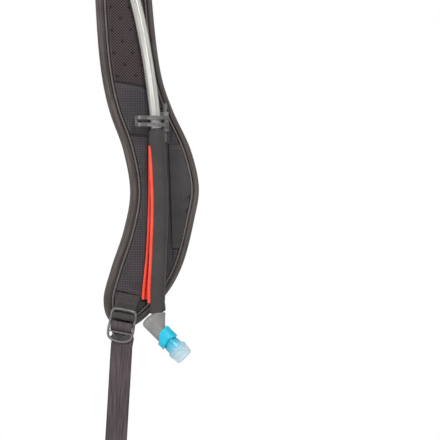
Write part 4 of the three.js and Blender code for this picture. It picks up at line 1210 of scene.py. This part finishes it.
def sleeve_rings(z, inset):
    """The sleeve's surface, with its seam, hem and wrinkles."""
    turn = full_turn(SLEEVE_AROUND)
    centre, side, front = hose_frames(z)
    run = run_down(z)
    across, deep = sleeve_section(run, turn)
    from_end = (hose_run[-1] - run)[:, None]
    hem = 0.45 * (1 - smoothstep(from_end, 0, 8)) - 0.35 * bell(from_end - 9, 0.7) - 0.5 * bell(from_end, 0.5)
    seam = -0.3 * bell(turn - 0.9, 0.06) * smoothstep(run, 10, 16)[:, None]
    wrinkle = 0.14 * ripple(9, across * 0.5, run[:, None], deep * 0.5, seed=4.0)
    wrinkle = wrinkle * smoothstep(run, 6, 12)[:, None]
    scale = (1 + (hem + seam + wrinkle - inset) / np.hypot(across, deep))[..., None]
    rings = centre[:, None] + scale * (side[:, None] * across[..., None] + front[:, None] * deep[..., None])
    rings[..., 2] += SLEEVE_SLANT * np.cos(turn) * (1 - smoothstep(from_end, 0, 12))
    return rings


def make_cuff():
    """Domed top of the sleeve, a ball about the point the hose swings from."""
    turn = full_turn(SLEEVE_AROUND)
    centre, side, front = (d[0] for d in hose_frames(np.array([CUFF_TOP])))
    up = np.cross(side, front)
    up = up if up[2] > 0 else -up
    lift = np.linspace(8.9, 0, 20)
    radius = CUFF_RADIUS * (1 - (lift / 10.2)**3)**(1 / 3)
    lip = [(4.95, lift[5] - 0.3), (4.9, lift[0] - 0.8), (4.95, lift[0] + 0.25)]
    inside = [(r - 1.1, h - 0.3) for r, h in zip(radius[6:-1], lift[6:-1])] + [(CUFF_RADIUS - 1.0, 0)]
    profile = np.array(lip + list(zip(radius, lift)) + inside[::-1])
    spokes = side * np.cos(turn)[:, None] + front * np.sin(turn)[:, None]
    rings = centre + spokes * profile[:, :1, None] + up * profile[:, 1:, None]
    body = ("strap", "hose_cuff", centre + up * 8, centre)
    uv = uv_grid(turn * SLEEVE_GIRTH, -np.append(profile[:, 1], profile[0, 1]))
    finish(skin("sleeve_top", rings, uv, looped=True), "sleeve_cloth", body, "sleeve_cuff")
    line = centre + up * np.linspace(6.4, -7.5, 24)[:, None]
    finish(rod("hose_in_cuff", line, 4.2, 32, 2.8), "clear_tube", body, "tube_in_cuff")


def sleeve_cloth(number, top, bottom, body):
    z = np.linspace(top, bottom, int((top - bottom) / 0.9))
    rings = np.concatenate([sleeve_rings(z, 0), sleeve_rings(z, 1.0)[::-1]])
    run = run_down(z)
    uv = uv_grid(full_turn(SLEEVE_AROUND) * SLEEVE_GIRTH, np.concatenate([run, run[::-1], run[:1]]))
    piece = skin(f"sleeve_{number}", rings, uv, looped=True)
    finish(piece, "sleeve_cloth", body, f"sleeve_segment_{number}")


def sleeve_tube(number, top, bottom, body):
    line = hose_at(np.linspace(top, bottom, 40))
    finish(rod(f"hose_length_{number}", line, TUBE_RADIUS, 32, TUBE_BORE), "clear_tube", body,
           f"tube_segment_{number}")


def sleeve_piping(number, top, bottom, body):
    """The red cord down the sleeve's inner side, and the red tape that holds it."""
    z = np.linspace(top, bottom, 50)
    centre, side, front = hose_frames(z)
    left = lerp(5.9, 7.4, run_down(z) / hose_run[-1])[:, None]
    cord = centre - side * (left + 0.9) + front * 1.6
    piece = rod(f"red_sleeve_piping_{number}", cord, CORD_RADIUS, 18)
    finish(piece, "red_piping", body, f"sleeve_piping_{number}")
    across = np.linspace(0, 1, 7)
    outer_edge = cord + side * 0.4 - front * 0.9
    inner_edge = centre - side * (left - 1.2) + front * 0.6
    tape = lerp(outer_edge[:, None], inner_edge[:, None], across[:, None])
    uv = np.stack([np.broadcast_to(across * 3, tape.shape[:2]), tape[..., 2]], -1)
    back = tape - front[:, None] * TAPE_THICKNESS
    finish(slab(f"red_sleeve_tape_{number}", tape, back, uv), "red_tape", body)


def make_sleeve():
    for number, (top, bottom, upper, lower, start, end) in enumerate(LENGTHS, 1):
        body = (upper, lower, hose_at(start), hose_at(end))
        first, last = top == CUFF_TOP, bottom == HOSE_END
        sleeve_cloth(number, top, bottom, body)
        sleeve_tube(number, -251.5 if first else top, bottom, body)
        sleeve_piping(number, -249.5 if first else top, bottom + 8.5 if last else bottom, body)


make_cuff()
make_sleeve()

# ---------------------------------------------------------------- elbow and bite valve

BARREL_RADIUS = 7
BARREL_LENGTH = 22.6
STUB_RADIUS = 6.3
STUB_X = 37.2
NIPPLE_RADIUS = 4.5
NIPPLE_END = 29
VALVE_END = 49.7
hose_end = hose_at(HOSE_END)
barrel_back = (BARREL_BACK[0], hose_end[1], BARREL_BACK[1])
valve_frame = placed(barrel_back, BARREL_AXIS)


def melted(name, pieces, voxel, smooth):
    """Several closed forms run together into one, with a soft fillet where they meet."""
    bpy.ops.object.select_all(action="DESELECT")
    for piece in pieces:
        piece.select_set(True)
    bpy.context.view_layer.objects.active = pieces[0]
    bpy.ops.object.join()
    whole = bpy.context.object
    whole.name = name
    remesh = whole.modifiers.new("remesh", "REMESH")
    remesh.mode = "VOXEL"
    remesh.voxel_size = voxel * MM
    remesh.use_smooth_shade = True
    soften = whole.modifiers.new("soften", "SMOOTH")
    soften.iterations = smooth
    soften.factor = 0.5
    for modifier in ("remesh", "soften"):
        bpy.ops.object.modifier_apply(modifier=modifier)
    return whole


def make_elbow():
    """The elbow: a slanted barrel with a domed back, a stub up to the sleeve, a nipple for the valve."""
    dome = [(0, -1.4), (2, -1.35), (3.6, -1.1), (5, -0.6), (6.1, 0.3), (6.75, 1.5), (BARREL_RADIUS, 3)]
    groove = [(BARREL_RADIUS, 9.6), (BARREL_RADIUS - 0.15, 10), (BARREL_RADIUS, 10.4)]
    front = [(BARREL_RADIUS, BARREL_LENGTH - 0.4), (BARREL_RADIUS - 0.4, BARREL_LENGTH),
             (NIPPLE_RADIUS, BARREL_LENGTH), (NIPPLE_RADIUS, NIPPLE_END), (0, NIPPLE_END)]
    barrel = turned("barrel", dome + groove + front, valve_frame, 80)
    knee = Vector(barrel_back) + Vector(BARREL_AXIS) * (STUB_X - barrel_back[0])
    rise = hose_end[2] - 0.4 - knee.z
    collar = STUB_RADIUS + 0.2
    stub = turned("stub", [(0, 0), (STUB_RADIUS, 0), (STUB_RADIUS, rise - 2.2), (collar, rise - 1.9),
                           (collar, rise), (0, rise)], placed(knee, (0, 0.001, 1)), 72)
    finish(melted("elbow", [barrel, stub], 0.33, 3), "grey_plastic", "hose_5", "elbow_body")


COLLAR_INNER = 7.4
COLLAR_OUTER = 8.9
COLLAR_TOP = 16.6
COLLAR_STEP = 6
COLLAR_FOOT = 27.2
WING_REACH = 3


def collar_shape(rings):
    """Bends a plain band into the collar: its edges, its two wings and their grip ribs."""
    x, share, z = rings[..., 0], rings[..., 1], rings[..., 2]
    radius = np.hypot(x, z)
    sine = x / radius
    wing = smoothstep(np.abs(sine), 0.2, 0.85)
    low = COLLAR_TOP + COLLAR_STEP * smoothstep(sine, 0, 1)
    high = COLLAR_FOOT + WING_REACH * np.abs(sine)**1.5
    spread = 0.5 * wing * (radius > COLLAR_INNER + 0.1)
    grip = 0.16 * np.sin(share * (high - low) * TAU / 1.5) * wing * (radius > COLLAR_OUTER - 0.4)
    grown = 1 + (spread + grip) / radius
    return np.stack([x * grown, lerp(low, high, share), z * grown], -1)


def make_collar():
    lip = COLLAR_OUTER - 0.7
    groove = COLLAR_OUTER - 0.25
    half = [(COLLAR_INNER, 0), (lip, 0), (COLLAR_OUTER, 0.12), (groove, 0.3)]
    start = (COLLAR_INNER, 0.5)
    wall = rounded([start, *half, *((r, 1 - share) for r, share in half[::-1]), start], 0.25)
    dense = np.vstack([resample(wall[i:i + 2], 3)[:-1] for i in range(len(wall) - 1)] + [wall[-1:]])
    piece = turned("valve_collar", dense, valve_frame, 128, shape=collar_shape)
    finish(piece, "cyan_plastic", "valve", "shutoff_collar")


def valve_shape(rings):
    """Presses the valve a little flatter towards its end, and cuts its closed slit."""
    x, y, z = rings[..., 0], rings[..., 1], rings[..., 2]
    cut = 0.9 * bell(z, 0.45) * (1 - smoothstep(np.abs(x), 4.2, 5.4)) * (y > VALVE_END - 0.6)
    return np.stack([x, y - cut, z * (1 - 0.1 * smoothstep(y, 39, VALVE_END))], -1)


def make_mouthpiece():
    """The hollow bite valve, pushed over the elbow's nipple."""
    root = NIPPLE_RADIUS + 0.3
    start = BARREL_LENGTH + 0.4
    face = [(r, VALVE_END - 0.3 * (r / 7)**3) for r in np.arange(0, 7.3, 0.4)]
    outside = [(7.3, VALVE_END - 0.4), (8.1, VALVE_END - 1.2), (8.4, VALVE_END - 2.4), (9.1, 41),
               (9.7, 39.1), (9.1, 37.8), (7.8, 36.8), (7.5, 31.6), (7.05, 30.6), (7.05, start)]
    inside = [(root, start), (root, NIPPLE_END), (6, 31), (6.3, 39), (5.2, VALVE_END - 4),
              (2, VALVE_END - 3.5)]
    profile = np.vstack([face, rounded(outside + inside, 0.8), [(0, VALVE_END - 3.4)]])
    piece = turned("mouthpiece", profile, valve_frame, 96, shape=valve_shape)
    finish(piece, "clear_silicone", "valve", "bite_valve")


def make_valve_stem():
    base = NIPPLE_END + 0.3
    stem = rounded([(0, base), (3.4, base), (3.4, 38), (4.4, 40), (4.4, 43.4), (3.6, 44.6), (0, 45)], 0.5)
    finish(turned("valve_stem", stem, valve_frame, 48), "cyan_plastic", "hose_5", "valve_core")


make_elbow()
make_collar()
make_mouthpiece()
make_valve_stem()

# ---------------------------------------------------------------- clip, buckle and webbing

RIDGE_HEIGHT = 11.3
RIDGE_RADIUS = 0.55


def make_clip():
    """The rail, the slider with three ridges, and the loop over the tube; the rail and the middle ridge take
    a darker copy of the plastic, as painted shade.
    """
    # The rail's darker plastic is painted shade for the shadowed gaps along it.
    refined("clip_rail", 0.3, "painted_shade_plastic", "strap")
    refined("clip_slider", 0.35, "clip_plastic", "clip_slider")
    refined("clip_loop", 0.45, "clip_plastic", "clip_loop")
    low, high = (np.array(c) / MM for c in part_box("clip_slider"))
    z = np.linspace(high[2] - 0.5, low[2] + 0.5, 12)
    # The middle ridge is dark: painted shade for the groove between the inner and outer ridges.
    ridges = (("inner", low[0] + 0.9, "clip_plastic"), ("middle", low[0] + 2.2, "painted_shade_plastic"),
              ("outer", high[0] - 0.6, "clip_plastic"))
    for name, x, slot in ridges:
        ridge = rod(f"slider_ridge_{name}", on_pad(x, RIDGE_HEIGHT, z), RIDGE_RADIUS, 12)
        finish(ridge, slot, "clip_slider")


def make_hinge_pin():
    low, high = (np.array(c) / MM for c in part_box("clip_pin"))
    foot = ((low[0] + high[0]) / 2, (low[1] + high[1]) / 2, low[2])
    radius = (high[0] - low[0]) / 2
    head = radius + 0.5
    length = high[2] - low[2]
    profile = rounded([(0, 0), (head, 0), (head, 0.7), (radius, 0.8), (radius, length - 0.8),
                       (head, length - 0.7), (head, length), (0, length)], 0.2)
    piece = turned("hinge_pin", profile, placed(foot, (0, 0.0001, 1)), 32)
    finish(piece, "steel", "clip_slider", "clip_pin")


BUCKLE_TILT = math.radians(11)
WEB_THICKNESS = 1.2
WEB_SKEW = math.radians(7.6)
WEB_SHIFT = 3.4
# Heights in the buckle's frame: where the webbing bends above and below it, and its upper bar.
LOOP_FLEX = 18.6
WEB_FLEX = -17
UPPER_BAR = 8.7
WEB_GAP = 0.3
HEM = 18
STITCH_REACH = 8.6
buckle_frame = Matrix.Translation((3.2, -84.2, -414.9)) @ Matrix.Rotation(BUCKLE_TILT, 4, "Y")


def web_strip(name, centre, across, normal, run, slot, body, *nodes, hem=None):
    """Webbing from its centre line, the direction across it and its face's normal at each point."""
    u = np.linspace(-1, 1, 31)
    rim = np.sqrt(np.clip(1 - ((np.abs(u) - 0.94) / 0.06).clip(0)**2, 0.02, 1))
    front = np.broadcast_to(-rim, (len(centre), len(u))) * WEB_THICKNESS / 2
    back = -front
    if hem is not None:
        side, from_end = hem
        fold = WEB_THICKNESS * (1 - smoothstep(from_end, HEM - 0.9, HEM))[:, None] * rim
        if side < 0:
            front = front - fold
        else:
            back = back + fold
    base = centre[:, None] + across[:, None] * (u * WEB_WIDTH / 2)[:, None]
    faces = [moved(base + normal[:, None] * height[..., None], buckle_frame) for height in (front, back)]
    return finish(slab(name, *faces, uv_grid(u * WEB_WIDTH / 2, run)), slot, body, *nodes)


def anchor_drift(z):
    return 0.17 * np.clip(z - LOOP_FLEX, 0, None)


def web_drift(z):
    return WEB_SHIFT * (1 - smoothstep(z, -10, -3))


def threaded_strip(name, points, drift, count, slot, body, *nodes):
    """Webbing threaded through the buckle along [depth, height] points."""
    line = spline(points, count)
    ahead = unit(np.gradient(line, axis=0))
    level = np.zeros(count)
    centre = np.stack([drift(line[:, 1]), line[:, 0], line[:, 1]], -1)
    normal = np.stack([level, -ahead[:, 1], ahead[:, 0]], -1)
    across = np.broadcast_to((1.0, 0, 0), centre.shape)
    return web_strip(name, centre, across, normal, run_along(line), slot, body, *nodes)


def row_on_web(name, ends, pitch, body, side):
    """Stitches from one side of the webbing to the other."""
    stitches(name, moved(np.array(ends), buckle_frame), pitch, body, (0, side, 0))


def in_world(height, depth):
    return np.array(buckle_frame @ Vector((0, depth, height)))


def hanging_web(depth, end, side, child):
    """One side of the webbing below the buckle, with its hem folded to its front or its back."""
    top = WEB_FLEX - WEB_GAP
    drop = np.linspace(-2 * WEB_GAP, top - end, 240)
    turn = WEB_SKEW * smoothstep(drop, 0, 12)
    sway = 0.5 * np.sin(drop * TAU / 130) * smoothstep(drop, 5, 40)
    x, z = WEB_SHIFT + drop * math.sin(WEB_SKEW), top - drop * math.cos(WEB_SKEW)
    centre = np.stack([x, depth + sway, z], -1)
    across = np.stack([np.cos(turn), 0 * turn, np.sin(turn)], -1)
    normal = np.broadcast_to(BACKWARD, centre.shape)
    body = ("buckle", child, in_world(WEB_FLEX - 0.2, depth), in_world(WEB_FLEX - 5, depth))
    from_end = drop[-1] - drop
    web_strip(child.split("_")[1] + "_web", centre, across, normal, drop, "webbing_strip", body, child,
              hem=(side, from_end))
    for row, up_from_end in enumerate((2.2, HEM - 2.5)):
        at = int(np.argmin(np.abs(from_end - up_from_end)))
        face = depth + sway[at] + side * (WEB_THICKNESS * 1.5 + 0.05)
        reach = across[at] * STITCH_REACH
        ends = [(x, face, z) for x, _, z in (centre[at] - reach, centre[at] + reach)]
        row_on_web(f"{child}_{row}", ends, 2.1, body, side)


def make_anchor_webbing():
    """The doubled webbing that holds the buckle under the strap's tip."""
    bar = UPPER_BAR
    route = [(4.9, 29.8), (4.3, 27.5), (4.2, 22), (4.2, 14), (4.1, 9.6), (3.3, bar - 1.6), (1.4, bar - 2.2),
             (-0.8, bar - 2.2), (-2.6, bar - 1.4), (-2.95, bar + 0.3), (-2.2, bar + 1.9), (0, bar + 2.4),
             (1.6, bar + 2.9), (2.5, bar + 4.4), (2.65, 16), (2.7, 19), (2.8, 24), (2.9, 27.5), (3.6, 29.8)]
    body = ("strap", "buckle", in_world(LOOP_FLEX + 1.6, 3), in_world(LOOP_FLEX - 1.6, 3))
    threaded_strip("anchor_web", route, anchor_drift, 210, "webbing", body, "anchor_webbing", "anchor_loop")


def make_anchor_stitching():
    for row, height in enumerate((21.5, 26.5)):
        ends = [(reach + anchor_drift(height), 2.15, height) for reach in (-STITCH_REACH, STITCH_REACH)]
        row_on_web(f"anchor_{row}", ends, 1.9, "strap", -1)


def make_adjusting_webbing():
    """The webbing that runs up behind the buckle, over its bars and down in front, and its two ends."""
    low = WEB_FLEX + WEB_GAP
    route = [(3.15, low), (3.15, -5), (3, -1), (2.85, 1.4), (1.9, 2.9), (0.2, 3.2), (-1.6, 3), (-2.8, 1.9),
             (-2.9, 0), (-2.3, -1.9), (-0.9, -3.2), (0.5, -4.1), (1.4, -5.4), (1.5, -8), (1.5, low)]
    threaded_strip("adjusting_web", route, web_drift, 150, "webbing_strip", "buckle", "webbing_wrap")
    hanging_web(1.5, -160, -1, "webbing_tail")
    hanging_web(3.15, -186, 1, "webbing_load")


LOCK_BARS = ((UPPER_BAR, 1.05), (0.9, 1.05), (-6.1, 0.7))


def make_lock_frame():
    """Ladder lock: a rounded rim and its bars, each at a height and of a half height."""
    half = [(6, 14.9), (9.8, 13.9), (11, 11.2), (11.2, 4), (11.4, -6), (9.9, -11.4), (6, -13.8)]
    other = [(-x, z) for x, z in half[::-1]]
    path = spline([*other[2:], (0, 15), *half, (0, -14.7), *other[:2]], 150, closed=True)
    path = np.stack([path[:, 0], 0 * path[:, 0], path[:, 1]], -1)
    ahead = unit(np.roll(path, -1, 0) - np.roll(path, 1, 0))
    out = np.stack([-ahead[:, 2], 0 * ahead[:, 0], ahead[:, 0]], -1)
    turn = full_turn(20)
    reach = 1.15 + 0.35 * smoothstep(path[:, 2], 8, 13)
    rings = path[:, None] + (reach[:, None] * np.cos(turn))[..., None] * out[:, None]
    rings = rings + 1.6 * np.sin(turn)[:, None] * np.array(BACKWARD)
    parts = [skin("lock_rim", moved(rings, buckle_frame), looped=True)]
    for height, half_height in LOCK_BARS:
        ring = np.stack([0 * turn, -0.2 + 1.2 * np.sin(turn), height + half_height * np.cos(turn)], -1)
        bar = ring + np.linspace(-11, 11, 12)[:, None, None] * (1, 0, 0)
        parts.append(skin("lock_bar", moved(bar, buckle_frame)))
    finish(melted("ladder_lock_moulded", parts, 0.3, 2), "dark_plastic", "buckle", "ladder_lock")


def make_lock_tab():
    """The tab below the bars, with a triangular recess that has a raised lip; it takes a darker copy of the
    lock's plastic, as painted shade for the recess.
    """
    a, c = np.meshgrid(np.linspace(0, 1, 60), np.linspace(0, 1, 40))
    z = lerp(-6.2, -14.2, c)
    left = np.interp(z, [-14.2, -12.5, -11, -9.5, -6.2], [-4, -8.4, -8.2, -7.2, -6.9])
    right = np.interp(z, [-14.2, -12.5, -10.5, -8, -6.2], [4, 8.2, 10.3, 11, 11.2])
    x = lerp(left, right, a)
    inside = np.minimum(-7.6 - z, (z + 13.4 - 1.1 * np.abs(x)) / 1.4)
    depth = 1.3 * smoothstep(inside, -0.25, 0.35) - 0.8 * bell(inside + 0.7, 0.5)
    faces = [moved(np.stack([x, y, z], -1), buckle_frame) for y in (depth - 0.7, np.full_like(x, 0.9))]
    # The tab's darker plastic is painted shade for its recess.
    finish(slab("lock_tab", *faces, np.stack([x, z], -1)), "painted_shade_plastic", "buckle")


make_clip()
make_hinge_pin()
make_anchor_webbing()
make_adjusting_webbing()
make_anchor_stitching()
make_lock_frame()
make_lock_tab()

# ---------------------------------------------------------------- what stays from the frame

for node in ("strap_magnet", "sleeve_magnet"):
    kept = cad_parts[node].data.materials
    kept.clear()
    kept.append(MATERIALS["magnet"])
